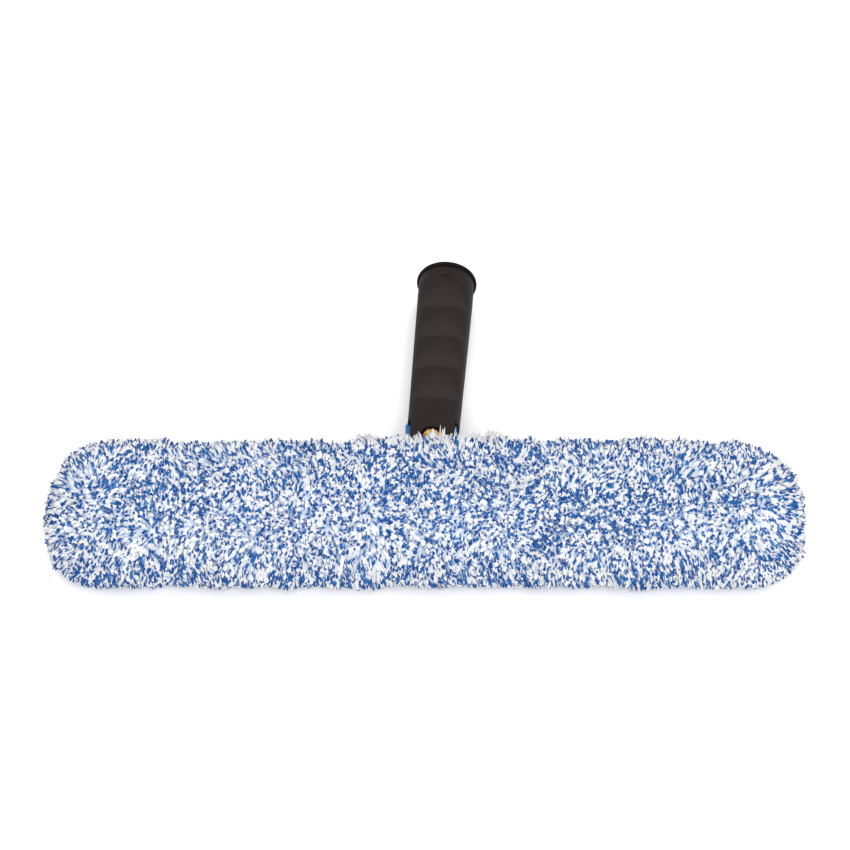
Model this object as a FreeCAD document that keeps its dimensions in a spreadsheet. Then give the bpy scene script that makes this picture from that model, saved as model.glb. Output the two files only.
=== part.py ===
"""Window scrubber: a microfibre sleeve on a moulded T-bar, with a handle that swivels on a brass pivot.

Millimetres and degrees, +Z up. The scrubber lies as it is put down on a table: the sleeve rests on z = 0
along X, and the handle points along +Y and drops until its end collar touches the table too. The origin is
on the table, under the middle of the sleeve.

Pieces of the head are modelled about the middle of the bar, and pieces of the handle about the pivot with
the handle along +Y. Two placements, HEAD and HANDLE, then lay both sets down.
"""
import FreeCAD, Part
import os
import re

import Sketcher
from FreeCAD import Vector

SIZES = {
    # bar: two blue shells that meet on the plane of the handle, and a cap on each end
    "bar_length": 322.0,
    "bar_width": 42.0,
    "bar_thickness": 22.0,
    "bar_corner": 9.0,
    "bar_wall": 2.4,
    "fit_gap": 0.2,
    "cap_flange": 3.0,
    "cap_plug": 10.0,
    "cap_round": 1.4,
    "drain_radius": 3.0,
    "drain_from_hub": 10.0,
    "drain_from_plug": 27.0,
    "drain_from_wall": 8.6,
    # screws that close the bar and hold the hub
    "screw_radius": 1.5,
    "screw_fit": 0.05,
    "screw_head_lip": 1.3,
    "screw_head_height": 1.3,
    "screw_head_sink": 0.1,
    "screw_tip_gap": 0.6,
    "boss_wall": 2.5,
    "bar_screw_from_hub": 20.0,
    "bar_screw_from_plug": 13.0,
    "hub_screw_from_end": 10.0,
    "hub_screw_from_wall": 8.6,
    "hub_screw_cover": 5.0,
    # hub: a saddle inside the bar, with a flat tongue that reaches out to the pivot
    "hub_length": 60.0,
    "tongue_width": 25.0,
    "tongue_thickness": 9.0,
    "tongue_past_pivot": 12.3,
    "tongue_gap": 0.3,
    "pivot_from_pile": 3.5,
    # swivel pivot
    "barrel_radius": 3.0,
    "barrel_wall": 1.1,
    "running_gap": 0.05,
    "washer_radius": 8.0,
    "washer_thickness": 0.8,
    "pivot_head_lip": 1.2,
    "pivot_head_height": 2.0,
    "pivot_head_round": 0.5,
    "pivot_slot_width": 1.2,
    "pivot_slot_depth": 0.9,
    "pivot_screw_reach": 12.0,
    "spring_thickness": 0.5,
    "spring_rise": 0.3,
    "arm_under_head": 2.9,
    "recess_gap": 1.0,
    # handle: a rigid core with a fork and a pole socket, a soft grip on it and a collar on its end
    "handle_length": 114.0,
    "slot_gap": 0.6,
    "grip_start": 20.0,
    "socket_radius": 9.5,
    "socket_wall": 1.3,
    "socket_from_slot": 23.5,
    "grip_low_wall": 1.6,
    "grip_high_wall": 3.0,
    "fork_flat_wall": 1.1,
    "grip_flat_wall": 2.0,
    "grip_end_wall": 2.6,
    "fork_corner": 7.0,
    "grip_corner": 8.0,
    "grip_end_corner": 12.8,
    "arm_side_cut": 1.9,
    "arm_shoulder": 11.0,
    "grip_fit": 0.05,
    "scallop_from_start": 3.5,
    "scallop_from_collar": 7.5,
    "scallop_wall": 0.15,
    "scallop_lift": 0.05,
    "scallop_radius": 60.0,
    "collar_lip": 1.3,
    "collar_flange": 2.2,
    "collar_round": 0.9,
    "collar_skirt": 4.0,
    "collar_skirt_wall": 1.2,
    "dimple_radius": 2.2,
    "dimple_depth": 0.4,
    "dimple_from_skirt": 1.1,
    # sleeve: hook and loop pads, a woven backing closed at both ends, and the pile round it
    "pad_length": 40.0,
    "pad_width": 20.0,
    "pad_thickness": 1.2,
    "pad_inset": 14.0,
    "sleeve_gap": 0.6,
    "backing_thickness": 1.4,
    "neck_side_gap": 3.0,
    "neck_face_gap": 2.0,
    "binding_width": 4.0,
    "binding_thickness": 1.2,
    "sew_gap": 0.1,
    "pile_end": 12.0,
    "pile_side": 12.0,
    "pile_top": 11.7,
    "pile_base": 11.0,
    "pile_plan_round": 31.0,
    "pile_top_round": 25.0,
    "pile_base_round": 16.5,
    "pile_neck_gap": 2.5,
    "pile_fork_gap": 1.0,
    "pile_neck_round": 8.0,
    # how the pieces lie
    "bar_shift": 3.1,
    "handle_lean": 4.0,
}
DRAINS_PER_SIDE = 5
BAR_SCREWS_PER_SIDE = 3
SCALLOPS = 4
SIDES = (1, -1)

# Lengths that follow from the sizes. Each is an expression in size names.

BAR_HALF = "(bar_thickness / 2)"
BAR_CORNER = "min(bar_corner; 0.9 * bar_thickness / 2; 0.9 * bar_width / 2)"
INSIDE_CORNER = f"max({BAR_CORNER} - bar_wall; bar_wall / 2)"
INSIDE_HALF_WIDTH = "(bar_width / 2 - bar_wall)"
INSIDE_HALF = f"({BAR_HALF} - bar_wall)"
PLUG_START = "(bar_length / 2 - cap_plug)"

SCREW_HOLE = "(screw_radius + screw_fit)"
SCREW_HEAD = "(screw_radius + screw_head_lip)"
SCREW_SEAT = f"(screw_head_height + screw_head_sink - {BAR_HALF})"
BOSS_RADIUS = "(screw_radius + boss_wall)"
HUB_SCREW_X = "(hub_length / 2 - hub_screw_from_end)"
HUB_SCREW_Y = f"({INSIDE_HALF_WIDTH} - hub_screw_from_wall)"
HUB_SCREW_TOP = f"({INSIDE_HALF} - fit_gap - hub_screw_cover)"

BACKING_HALF_LENGTH = "(bar_length / 2 + cap_flange + sleeve_gap)"
BACKING_HALF_WIDTH = "(bar_width / 2 + sleeve_gap)"
BACKING_LOW = f"(-{BAR_HALF} - sleeve_gap)"
BACKING_HIGH = f"({BAR_HALF} + 2 * pad_thickness)"
BACKING_CORNER = f"({BAR_CORNER} + sleeve_gap)"
NECK_HALF_WIDTH = "(tongue_width / 2 + neck_side_gap)"
NECK_HALF_HEIGHT = "(tongue_thickness / 2 + neck_face_gap)"

BAR_HEIGHT = f"(pile_base + backing_thickness - {BACKING_LOW})"
PILE_HALF_LENGTH = f"({BACKING_HALF_LENGTH} + backing_thickness + pile_end)"
PILE_HALF_DEPTH = f"({BACKING_HALF_WIDTH} + backing_thickness + pile_side)"
PILE_HEIGHT = f"({BAR_HEIGHT} + {BACKING_HIGH} + backing_thickness + pile_top)"

PIVOT = f"({PILE_HALF_DEPTH} + pivot_from_pile)"
TONGUE_RADIUS = "sqrt(tongue_width ^ 2 / 4 + tongue_past_pivot ^ 2)"
SLOT_RADIUS = f"({TONGUE_RADIUS} + slot_gap)"
ARM_INSIDE = "(tongue_thickness / 2 + running_gap + washer_thickness)"
ARM_SEAT = f"({ARM_INSIDE} + arm_under_head)"
PIVOT_HOLE = "(barrel_radius + running_gap)"
PIVOT_HEAD = "(barrel_radius + pivot_head_lip)"
PIVOT_SCREW = "(barrel_radius - barrel_wall)"
UNDER_SCREW_HEAD = f"({ARM_SEAT} + spring_thickness + spring_rise)"

CORE_RADIUS = "(socket_radius + socket_wall)"
CORE_END = "(handle_length - collar_flange)"
FORK_RADIUS = f"({CORE_RADIUS} + grip_low_wall)"
GRIP_HIGH_RADIUS = f"({CORE_RADIUS} + grip_high_wall)"
GRIP_LENGTH = f"({CORE_END} - grip_start)"
COLLAR_RADIUS = f"({GRIP_HIGH_RADIUS} + collar_lip)"
SKIRT_RADIUS = f"({CORE_RADIUS} + grip_fit + collar_skirt_wall)"
SCALLOP_START = "(grip_start + scallop_from_start)"
SCALLOP_PITCH = f"(({CORE_END} - scallop_from_collar - {SCALLOP_START}) / {SCALLOPS})"
DIMPLE = f"({CORE_END} - collar_skirt - dimple_radius - dimple_from_skirt)"
FORK_HALF = f"min({CORE_RADIUS} + fork_flat_wall; {FORK_RADIUS})"
FORK_CORNER = f"min(fork_corner; 0.9 * {FORK_HALF})"
FLAT_END = f"({CORE_END} - scallop_from_collar)"
FLAT_SHARE = f"(({FLAT_END} - grip_start) / {GRIP_LENGTH})"
FLAT_RADIUS = f"({FORK_RADIUS} + {FLAT_SHARE} * ({GRIP_HIGH_RADIUS} - {FORK_RADIUS}))"
FLAT_HALF = f"min({CORE_RADIUS} + grip_flat_wall; {FLAT_RADIUS})"
FLAT_CORNER = f"min(grip_corner; 0.9 * {FLAT_HALF})"
FLAT_TAPER = f"(({FLAT_HALF} - {FORK_HALF}) / ({FLAT_END} - grip_start))"
GRIP_HALF = f"min({CORE_RADIUS} + grip_end_wall; {GRIP_HIGH_RADIUS})"
GRIP_CORNER = f"min(grip_end_corner; 0.97 * {GRIP_HALF})"

# The handle drops until the collar's rim meets the table, which tips the bar with it.
REACH = f"({PIVOT} + handle_length * cos(handle_lean))"
DROP = f"(asin({BAR_HEIGHT} / sqrt({REACH} ^ 2 + {COLLAR_RADIUS} ^ 2)) - atan({COLLAR_RADIUS} / {REACH}))"
TIPPED = f"rotation(vector(1; 0; 0); -{DROP})"
LEANING = "rotation(vector(0; 0; 1); -handle_lean)"
PIVOT_POINT = f"vector(bar_shift; {PIVOT} * cos({DROP}); {BAR_HEIGHT} - {PIVOT} * sin({DROP}))"
HEAD = f"placement(vector(bar_shift; 0; {BAR_HEIGHT}); {TIPPED})"
HANDLE = f"placement({PIVOT_POINT}; {TIPPED} * {LEANING})"

X_AXIS = Vector(1, 0, 0)
Y_AXIS = Vector(0, 1, 0)
Z_AXIS = Vector(0, 0, 1)
CLOSE = 1e-3  # edges this near a place count as lying there

doc = FreeCAD.newDocument("window_scrubber")
sheet = doc.addObject("Spreadsheet::Sheet", "Sizes")
for row, (alias, value) in enumerate(SIZES.items(), start=1):
    sheet.set(f"A{row}", alias)
    sheet.set(f"B{row}", str(value))
    sheet.setAlias(f"B{row}", alias)
worksheet = doc.addObject("Spreadsheet::Sheet", "Worksheet")
doc.recompute()
nodes = []


def bound(text):
    """An expression in size names, with each name pointing at its cell of the sheet."""
    return re.sub(r"[a-z_]+", lambda m: f"Sizes.{m.group()}" if m.group() in SIZES else m.group(), text)


def number(text):
    """What an expression in size names comes to."""
    worksheet.set("A1", "=" + bound(text))
    worksheet.recompute()
    return float(worksheet.get("A1"))


def bind(item, **expressions):
    """Binds properties of an object to expressions in size names."""
    for name, text in expressions.items():
        item.setExpression(name, bound(text))
    return item


def upright(x, y, z):
    """A placement that moves without turning."""
    return f"placement(vector({x}; {y}; {z}); rotation(vector(0; 0; 1); 0))"


def node(item, label, placement=None):
    """Names an object as a sub-part and lays it down."""
    item.Label = label
    if placement:
        bind(item, Placement=placement)
    nodes.append(item)
    return item


# Sketches


def new_body(name):
    """A body to build one piece in."""
    return doc.addObject("PartDesign::Body", f"{name}_body")


def new_sketch(body, role, offset="0"):
    """A sketch on one of a body's own planes, moved along the plane's normal."""
    sketch = body.newObject("Sketcher::SketchObject", "outline")
    plane = next(item for item in body.Origin.OriginFeatures if item.Role == role)
    sketch.AttachmentSupport = [(plane, "")]
    sketch.MapMode = "FlatFace"
    sketch.setExpression(".AttachmentOffset.Base.z", bound(offset))
    return sketch


def dimension(sketch, kind, where, text):
    """Adds one dimension to a sketch, bound to an expression."""
    index = sketch.addConstraint(Sketcher.Constraint(kind, *where, number(text)))
    sketch.setExpression(f"Constraints[{index}]", bound(text))


def polygon(sketch, *corners):
    """A closed outline through corners, each an x and a y."""
    first = sketch.GeometryCount
    count = len(corners)
    points = [Vector(number(x), number(y), 0) for x, y in corners]
    for i in range(count):
        sketch.addGeometry(Part.LineSegment(points[i], points[(i + 1) % count]))
    for i in range(count):
        after = first + (i + 1) % count
        sketch.addConstraint(Sketcher.Constraint("Coincident", first + i, 2, after, 1))
    for i, (x, y) in enumerate(corners):
        dimension(sketch, "DistanceX", (-1, 1, first + i, 1), x)
        dimension(sketch, "DistanceY", (-1, 1, first + i, 1), y)
    return sketch


def rectangle(sketch, half_x, low_y, high_y):
    """A rectangle centred on the sketch's y axis."""
    left = f"-({half_x})"
    return polygon(sketch, (left, low_y), (half_x, low_y), (half_x, high_y), (left, high_y))


def bow(sketch, edge, centre_y, radius):
    """Bows one level edge of an outline out into an arc about a point on the sketch's y axis.

    A positive radius bows it towards +y. The outline runs anticlockwise along the arc.
    """
    line = sketch.Geometry[edge]
    crest = Vector(0, number(centre_y) + number(radius), 0)
    sketch.toggleConstruction(edge)
    arc = sketch.addGeometry(Part.Arc(line.StartPoint, crest, line.EndPoint))
    sketch.addConstraint(Sketcher.Constraint("Coincident", arc, 1, edge, 1))
    sketch.addConstraint(Sketcher.Constraint("Coincident", arc, 2, edge, 2))
    dimension(sketch, "DistanceY", (-1, 1, arc, 3), centre_y)
    return sketch


def rounded(sketch, half_x, half_y, corner):
    """A rectangle about the sketch's origin with its corners rounded into quarter arcs."""
    flat_x, flat_y = f"({half_x} - {corner})", f"({half_y} - {corner})"
    first = sketch.GeometryCount
    walk = []
    for x, y in ((1, -1), (1, 1), (-1, 1), (-1, -1)):
        on_level = (f"{x} * {flat_x}", f"{y} * {half_y}")
        on_side = (f"{x} * {half_x}", f"{y} * {flat_y}")
        walk += [on_level, on_side] if x * y < 0 else [on_side, on_level]
    polygon(sketch, *walk)
    for index, (x, y) in enumerate(((1, -1), (1, 1), (-1, 1), (-1, -1))):
        edge = first + 2 * index
        chord = sketch.Geometry[edge]
        centre = Vector(x * number(flat_x), y * number(flat_y), 0)
        crest = centre + Vector(x, y, 0).normalize() * number(corner)
        sketch.toggleConstruction(edge)
        arc = sketch.addGeometry(Part.Arc(chord.StartPoint, crest, chord.EndPoint))
        sketch.addConstraint(Sketcher.Constraint("Coincident", arc, 1, edge, 1))
        sketch.addConstraint(Sketcher.Constraint("Coincident", arc, 2, edge, 2))
        dimension(sketch, "DistanceX", (-1, 1, arc, 3), f"{x} * {flat_x}")
    return sketch


def circle(sketch, x, y, radius):
    """A circle about a point."""
    index = sketch.GeometryCount
    sketch.addGeometry(Part.Circle(Vector(number(x), number(y), 0), Z_AXIS, number(radius)))
    dimension(sketch, "DistanceX", (-1, 1, index, 3), x)
    dimension(sketch, "DistanceY", (-1, 1, index, 3), y)
    dimension(sketch, "Radius", (index,), radius)
    return sketch


def circles(sketch, places, radius):
    """A circle about each of several points."""
    for x, y in places:
        circle(sketch, x, y, radius)
    return sketch


# Features


def pad(body, sketch, length, both=False, back=False):
    """Adds a sketch's area to a body, along its normal, back from it or half each way."""
    made = body.newObject("PartDesign::Pad", "pad")
    made.Profile = sketch
    made.SideType = "Symmetric" if both else "One side"
    made.Reversed = back
    bind(made, Length=length)
    doc.recompute()


def pocket(body, sketch, length, both=False, up=False):
    """Takes a sketch's area out of a body, against its normal, up along it or half each way."""
    before = body.Shape.Volume
    made = body.newObject("PartDesign::Pocket", "pocket")
    made.Profile = sketch
    made.SideType = "Symmetric" if both else "One side"
    made.Reversed = up
    bind(made, Length=length)
    doc.recompute()
    if not body.Shape.Volume < before:
        raise RuntimeError(f"a pocket in {body.Name} cuts nothing")


def taper(body, near, far):
    """Joins two sketches with straight sides."""
    made = body.newObject("PartDesign::AdditiveLoft", "taper")
    made.Profile = near
    made.Sections = [far]
    made.Ruled = True
    doc.recompute()


def revolve(body, sketch):
    """A full turn of a sketch about its own y axis."""
    made = body.newObject("PartDesign::Revolution", "turning")
    made.Profile = sketch
    made.ReferenceAxis = (sketch, ["V_Axis"])
    made.Angle = 360.0
    doc.recompute()


def soften(body, radius, wanted):
    """Rounds the edges of a body that a test picks out."""
    base = body.Tip
    names = [f"Edge{i}" for i, edge in enumerate(base.Shape.Edges, start=1) if wanted(edge)]
    made = body.newObject("PartDesign::Fillet", "rounding")
    made.Base = (base, names)
    bind(made, Radius=radius)
    doc.recompute()


def runs_along(edge, axis):
    """Whether an edge is a straight line along an axis."""
    if not isinstance(edge.Curve, Part.Line):
        return False
    return abs(abs(edge.Curve.Direction.dot(axis)) - 1) < 1e-6


def lies_at(edge, axis, place):
    """Whether the whole of an edge lies in the plane square to an axis at a place."""
    return all(abs(point.dot(axis) - place) < CLOSE for point in edge.discretize(5))


# Bar


def spread(first, last, count):
    """Places along +X and -X, evenly spread from a first to a last distance."""
    step = f"(({last} - {first}) / {count - 1})"
    return [f"{way} * ({first} + {i} * {step})" for way in SIDES for i in range(count)]


def bar_screw_places():
    first = "(hub_length / 2 + bar_screw_from_hub)"
    last = f"({PLUG_START} - bar_screw_from_plug)"
    return [(x, "0") for x in spread(first, last, BAR_SCREWS_PER_SIDE)]


def hub_screw_places():
    return [(f"{a} * {HUB_SCREW_X}", f"{b} * {HUB_SCREW_Y}") for a in SIDES for b in SIDES]


def drain_places():
    first = "(hub_length / 2 + drain_from_hub)"
    last = f"({PLUG_START} - drain_from_plug)"
    row = f"({INSIDE_HALF_WIDTH} - drain_from_wall)"
    return [(x, f"{side} * {row}") for x in spread(first, last, DRAINS_PER_SIDE) for side in SIDES]


def bar_shell(label, side):
    """One half of the bar: a channel with screw bosses, drain holes and half of the gate for the tongue.

    The upper half, side 1, takes the screws' threads, and the lower half, side -1, their heads.
    """
    body = new_body(label)
    outside = f"{side} * {BAR_HALF}"
    inside = f"{side} * {INSIDE_HALF}"
    block = rectangle(new_sketch(body, "YZ_Plane"), "bar_width / 2", "0", outside)
    pad(body, block, "bar_length", both=True)
    hollow = rectangle(new_sketch(body, "YZ_Plane"), INSIDE_HALF_WIDTH, "0", inside)
    pocket(body, hollow, "bar_length", both=True)
    floor, skin = number(inside), number(outside)
    soften(body, INSIDE_CORNER, lambda e: runs_along(e, X_AXIS) and lies_at(e, Z_AXIS, floor))
    soften(body, BAR_CORNER, lambda e: runs_along(e, X_AXIS) and lies_at(e, Z_AXIS, skin))
    bosses = circles(new_sketch(body, "XY_Plane"), bar_screw_places(), BOSS_RADIUS)
    pad(body, bosses, f"{INSIDE_HALF} + bar_wall / 2", back=side < 0)
    threads = circles(new_sketch(body, "XY_Plane"), bar_screw_places(), SCREW_HOLE)
    if side > 0:
        pocket(body, threads, INSIDE_HALF, up=True)
    else:
        circles(threads, hub_screw_places(), SCREW_HOLE)
        pocket(body, threads, BAR_HALF)
        seats = new_sketch(body, "XY_Plane", SCREW_SEAT)
        circles(seats, bar_screw_places() + hub_screw_places(), f"{SCREW_HEAD} + fit_gap")
        pocket(body, seats, BAR_HALF)
    drains = circles(new_sketch(body, "XY_Plane"), drain_places(), "drain_radius")
    pocket(body, drains, BAR_HALF, up=side > 0)
    gate_top = f"{side} * (tongue_thickness / 2 + tongue_gap)"
    gate_start = f"({INSIDE_HALF_WIDTH} - bar_wall)"
    gate_end = "(bar_width / 2 + bar_wall)"
    gate = new_sketch(body, "YZ_Plane")
    polygon(gate, (gate_start, "0"), (gate_end, "0"), (gate_end, gate_top), (gate_start, gate_top))
    pocket(body, gate, "tongue_width + 2 * tongue_gap", both=True)
    return node(body, label, HEAD)


def end_cap(label, side):
    """A cap on one end of the bar, with a plug that fits inside the channel."""
    body = new_body(label)
    mouth = f"{side} * bar_length / 2"
    half_width = f"({INSIDE_HALF_WIDTH} - fit_gap)"
    half_height = f"({INSIDE_HALF} - fit_gap)"
    plug = rectangle(new_sketch(body, "YZ_Plane", mouth), half_width, f"-{half_height}", half_height)
    pad(body, plug, "cap_plug", back=side > 0)
    soften(body, INSIDE_CORNER, lambda e: runs_along(e, X_AXIS))
    flange = rectangle(new_sketch(body, "YZ_Plane", mouth), "bar_width / 2", f"-{BAR_HALF}", BAR_HALF)
    pad(body, flange, "cap_flange", back=side < 0)
    end_of_bar = number("bar_length / 2")
    soften(body, BAR_CORNER, lambda e: runs_along(e, X_AXIS) and abs(e.CenterOfMass.x) > end_of_bar)
    face = number(f"{side} * (bar_length / 2 + cap_flange)")
    soften(body, "min(cap_round; 0.9 * cap_flange)", lambda e: lies_at(e, X_AXIS, face))
    return node(body, label, HEAD)


def swivel_hub():
    """A saddle that fills the middle of the bar, with the tongue that carries the pivot."""
    body = new_body("swivel_hub")
    half_width = f"({INSIDE_HALF_WIDTH} - fit_gap)"
    half_height = f"({INSIDE_HALF} - fit_gap)"
    saddle = rectangle(new_sketch(body, "YZ_Plane"), half_width, f"-{half_height}", half_height)
    pad(body, saddle, "hub_length", both=True)
    soften(body, INSIDE_CORNER, lambda e: runs_along(e, X_AXIS))
    shoulder = f"({PIVOT} + tongue_past_pivot)"
    tongue = rectangle(new_sketch(body, "XY_Plane"), "tongue_width / 2", "0", shoulder)
    bow(tongue, 2, PIVOT, TONGUE_RADIUS)
    pad(body, tongue, "tongue_thickness", both=True)
    bore = circle(new_sketch(body, "XY_Plane"), "0", PIVOT, PIVOT_HOLE)
    pocket(body, bore, "2 * tongue_thickness", both=True)
    threads = new_sketch(body, "XY_Plane", f"{HUB_SCREW_TOP} + screw_tip_gap")
    pocket(body, circles(threads, hub_screw_places(), SCREW_HOLE), "bar_thickness")
    return node(body, "swivel_hub", HEAD)


def screws(label, places, top):
    """Pan-head screws that come up through the lower shell and end at one height."""
    made = []
    for x, y in places:
        head = doc.addObject("Part::Cylinder", "screw_head")
        bind(head, Radius=SCREW_HEAD, Height="screw_head_height")
        bind(head, Placement=upright(x, y, f"{SCREW_SEAT} - screw_head_height"))
        shank = doc.addObject("Part::Cylinder", "screw_shank")
        bind(shank, Radius="screw_radius", Height=f"{top} - {SCREW_SEAT} + screw_head_height / 2")
        bind(shank, Placement=upright(x, y, f"{SCREW_SEAT} - screw_head_height / 2"))
        screw = doc.addObject("Part::Fuse", "screw")
        screw.Base = head
        screw.Tool = shank
        made.append(screw)
    group = doc.addObject("Part::Compound", f"{label}_group")
    group.Links = made
    return node(group, label, HEAD)


# Sleeve


def fastener_pad(label, side, layer):
    """A flat pad near one end of the bar: hooks on the bar in layer 0, loops in the sleeve in layer 1."""
    body = new_body(label)
    near = f"{side} * (bar_length / 2 - pad_inset - pad_length)"
    far = f"{side} * (bar_length / 2 - pad_inset)"
    outline = new_sketch(body, "XY_Plane", f"{BAR_HALF} + {layer} * pad_thickness")
    edge = "pad_width / 2"
    polygon(outline, (near, f"-{edge}"), (far, f"-{edge}"), (far, edge), (near, edge))
    pad(body, outline, "pad_thickness")
    return node(body, label, HEAD)


def backing_section(sketch, growth):
    """The section of the backing tube's inside, grown all round."""
    low = f"{BACKING_LOW} - {growth}"
    high = f"{BACKING_HIGH} + {growth}"
    return rectangle(sketch, f"{BACKING_HALF_WIDTH} + {growth}", low, high)


def sleeve_backing():
    """The woven tube that carries the pile, with a slot at the back where the tongue comes out."""
    body = new_body("sleeve_backing")
    length = f"2 * {BACKING_HALF_LENGTH}"
    pad(body, backing_section(new_sketch(body, "YZ_Plane"), "backing_thickness"), length, both=True)
    pocket(body, backing_section(new_sketch(body, "YZ_Plane"), "0"), length, both=True)
    inside, outside = number(BACKING_HALF_WIDTH), number(f"{BACKING_HALF_WIDTH} + backing_thickness")
    soften(body, BACKING_CORNER, lambda e: runs_along(e, X_AXIS) and abs(e.CenterOfMass.y) < inside + CLOSE)
    outer_corner = f"{BACKING_CORNER} + backing_thickness"
    soften(body, outer_corner, lambda e: runs_along(e, X_AXIS) and abs(e.CenterOfMass.y) > outside - CLOSE)
    near = f"({BACKING_HALF_WIDTH} - backing_thickness)"
    far = f"({BACKING_HALF_WIDTH} + 2 * backing_thickness)"
    slot = new_sketch(body, "YZ_Plane")
    low, high = f"-{NECK_HALF_HEIGHT}", NECK_HALF_HEIGHT
    polygon(slot, (near, low), (far, low), (far, high), (near, high))
    pocket(body, slot, f"2 * {NECK_HALF_WIDTH}", both=True)
    return node(body, "sleeve_backing", HEAD)


def end_panel(label, side):
    """A fabric panel that closes one end of the backing tube."""
    body = new_body(label)
    outline = new_sketch(body, "YZ_Plane", f"{side} * {BACKING_HALF_LENGTH}")
    pad(body, backing_section(outline, "backing_thickness"), "backing_thickness", back=side < 0)
    soften(body, f"{BACKING_CORNER} + backing_thickness", lambda e: runs_along(e, X_AXIS))
    return node(body, label, HEAD)


def neck_binding():
    """The tape that binds the edge of the slot in the backing."""
    body = new_body("neck_binding")
    face = f"-({BACKING_HALF_WIDTH} + backing_thickness)"
    half_width = f"({NECK_HALF_WIDTH} + binding_width)"
    half_height = f"({NECK_HALF_HEIGHT} + binding_width)"
    tape = rectangle(new_sketch(body, "XZ_Plane", face), half_width, f"-{half_height}", half_height)
    pad(body, tape, "binding_thickness", back=True)
    soften(body, "binding_width", lambda e: runs_along(e, Y_AXIS))
    slot = new_sketch(body, "XZ_Plane", face)
    rectangle(slot, NECK_HALF_WIDTH, f"-{NECK_HALF_HEIGHT}", NECK_HALF_HEIGHT)
    pocket(body, slot, "4 * binding_thickness", both=True)
    return node(body, "neck_binding", HEAD)


def pile_form():
    """The outer form of the pile as it lies: a long soft block with round ends, flat below and rounded elsewhere."""
    body = new_body("pile_form")
    plan = rectangle(new_sketch(body, "XY_Plane"), PILE_HALF_LENGTH, f"-{PILE_HALF_DEPTH}", PILE_HALF_DEPTH)
    pad(body, plan, PILE_HEIGHT)
    top = number(PILE_HEIGHT)
    plan_round = f"min(pile_plan_round; 0.9 * {PILE_HALF_DEPTH})"
    top_round = f"min(pile_top_round; 0.9 * {plan_round}; 0.55 * {PILE_HEIGHT})"
    base_round = f"min(pile_base_round; 0.9 * {plan_round}; 0.4 * {PILE_HEIGHT})"
    soften(body, plan_round, lambda e: runs_along(e, Z_AXIS))
    soften(body, top_round, lambda e: lies_at(e, Z_AXIS, top))
    soften(body, base_round, lambda e: lies_at(e, Z_AXIS, 0.0))
    return body


def pile_hollow():
    """What the backing and its end panels take out of the pile."""
    body = new_body("pile_hollow")
    section = backing_section(new_sketch(body, "YZ_Plane"), "(backing_thickness + sew_gap)")
    pad(body, section, f"2 * ({BACKING_HALF_LENGTH} + backing_thickness + sew_gap)", both=True)
    soften(body, f"{BACKING_CORNER} + backing_thickness + sew_gap", lambda e: runs_along(e, X_AXIS))
    return bind(body, Placement=HEAD)


def pile_neck():
    """The gap in the back of the pile, where the fork of the handle turns."""
    body = new_body("pile_neck")
    half_width = f"({NECK_HALF_WIDTH} + binding_width + pile_neck_gap)"
    half_height = f"({FORK_RADIUS} + pile_fork_gap)"
    outline = rectangle(new_sketch(body, "XZ_Plane"), half_width, f"-{half_height}", half_height)
    pad(body, outline, f"2 * {PILE_HALF_DEPTH}", back=True)
    soften(body, f"min(pile_neck_round; 0.9 * {half_height})", lambda e: runs_along(e, Y_AXIS))
    return bind(body, Placement=HEAD)


def sleeve_pile():
    """The pile as one soft solid round the backing."""
    spaces = doc.addObject("Part::MultiFuse", "pile_spaces")
    spaces.Shapes = [pile_hollow(), pile_neck()]
    pile = doc.addObject("Part::Cut", "pile_cut")
    pile.Base = pile_form()
    pile.Tool = spaces
    return node(pile, "sleeve_pile")


# Swivel pivot, turned about Z


def turning(name, *corners):
    """A body turned about Z from an outline of radius and height."""
    body = new_body(name)
    revolve(body, polygon(new_sketch(body, "XZ_Plane"), *corners))
    return body


def pivot_barrel():
    """The brass barrel nut that the tongue turns on. Its head sits in the recess of the rear arm."""
    thread = f"({PIVOT_SCREW} + screw_fit)"
    face = f"(-{ARM_SEAT} - pivot_head_height)"
    top = f"({ARM_SEAT} - running_gap)"
    body = turning(
        "pivot_barrel",
        (thread, f"-{ARM_INSIDE}"),
        ("0", f"-{ARM_INSIDE}"),
        ("0", face),
        (PIVOT_HEAD, face),
        (PIVOT_HEAD, f"-{ARM_SEAT}"),
        ("barrel_radius", f"-{ARM_SEAT}"),
        ("barrel_radius", top),
        (thread, top),
    )
    soften(body, "pivot_head_round", lambda e: lies_at(e, Z_AXIS, number(face)))
    return node(body, "pivot_barrel", HANDLE)


def pivot_screw():
    """The slotted brass screw that shows in the recess of the front arm."""
    face = f"({UNDER_SCREW_HEAD} + pivot_head_height)"
    tip = f"({UNDER_SCREW_HEAD} - min(pivot_screw_reach; {UNDER_SCREW_HEAD} + {ARM_INSIDE} - screw_tip_gap))"
    body = turning(
        "pivot_screw",
        ("0", tip),
        (PIVOT_SCREW, tip),
        (PIVOT_SCREW, UNDER_SCREW_HEAD),
        (PIVOT_HEAD, UNDER_SCREW_HEAD),
        (PIVOT_HEAD, face),
        ("0", face),
    )
    soften(body, "pivot_head_round", lambda e: lies_at(e, Z_AXIS, number(face)))
    edge = "pivot_slot_width / 2"
    slot = rectangle(new_sketch(body, "XY_Plane", face), f"2 * {PIVOT_HEAD}", f"-{edge}", edge)
    pocket(body, slot, "pivot_slot_depth")
    return node(body, "pivot_screw", HANDLE)


def spring_washer():
    """The cone of spring steel under the screw's head, which keeps the swivel stiff."""
    inner = f"({PIVOT_SCREW} + fit_gap)"
    outer = f"({PIVOT_HEAD} - fit_gap)"
    body = turning(
        "spring_washer",
        (outer, ARM_SEAT),
        (outer, f"{ARM_SEAT} + spring_thickness"),
        (inner, UNDER_SCREW_HEAD),
        (inner, f"{ARM_SEAT} + spring_rise"),
    )
    return node(body, "spring_washer", HANDLE)


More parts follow.
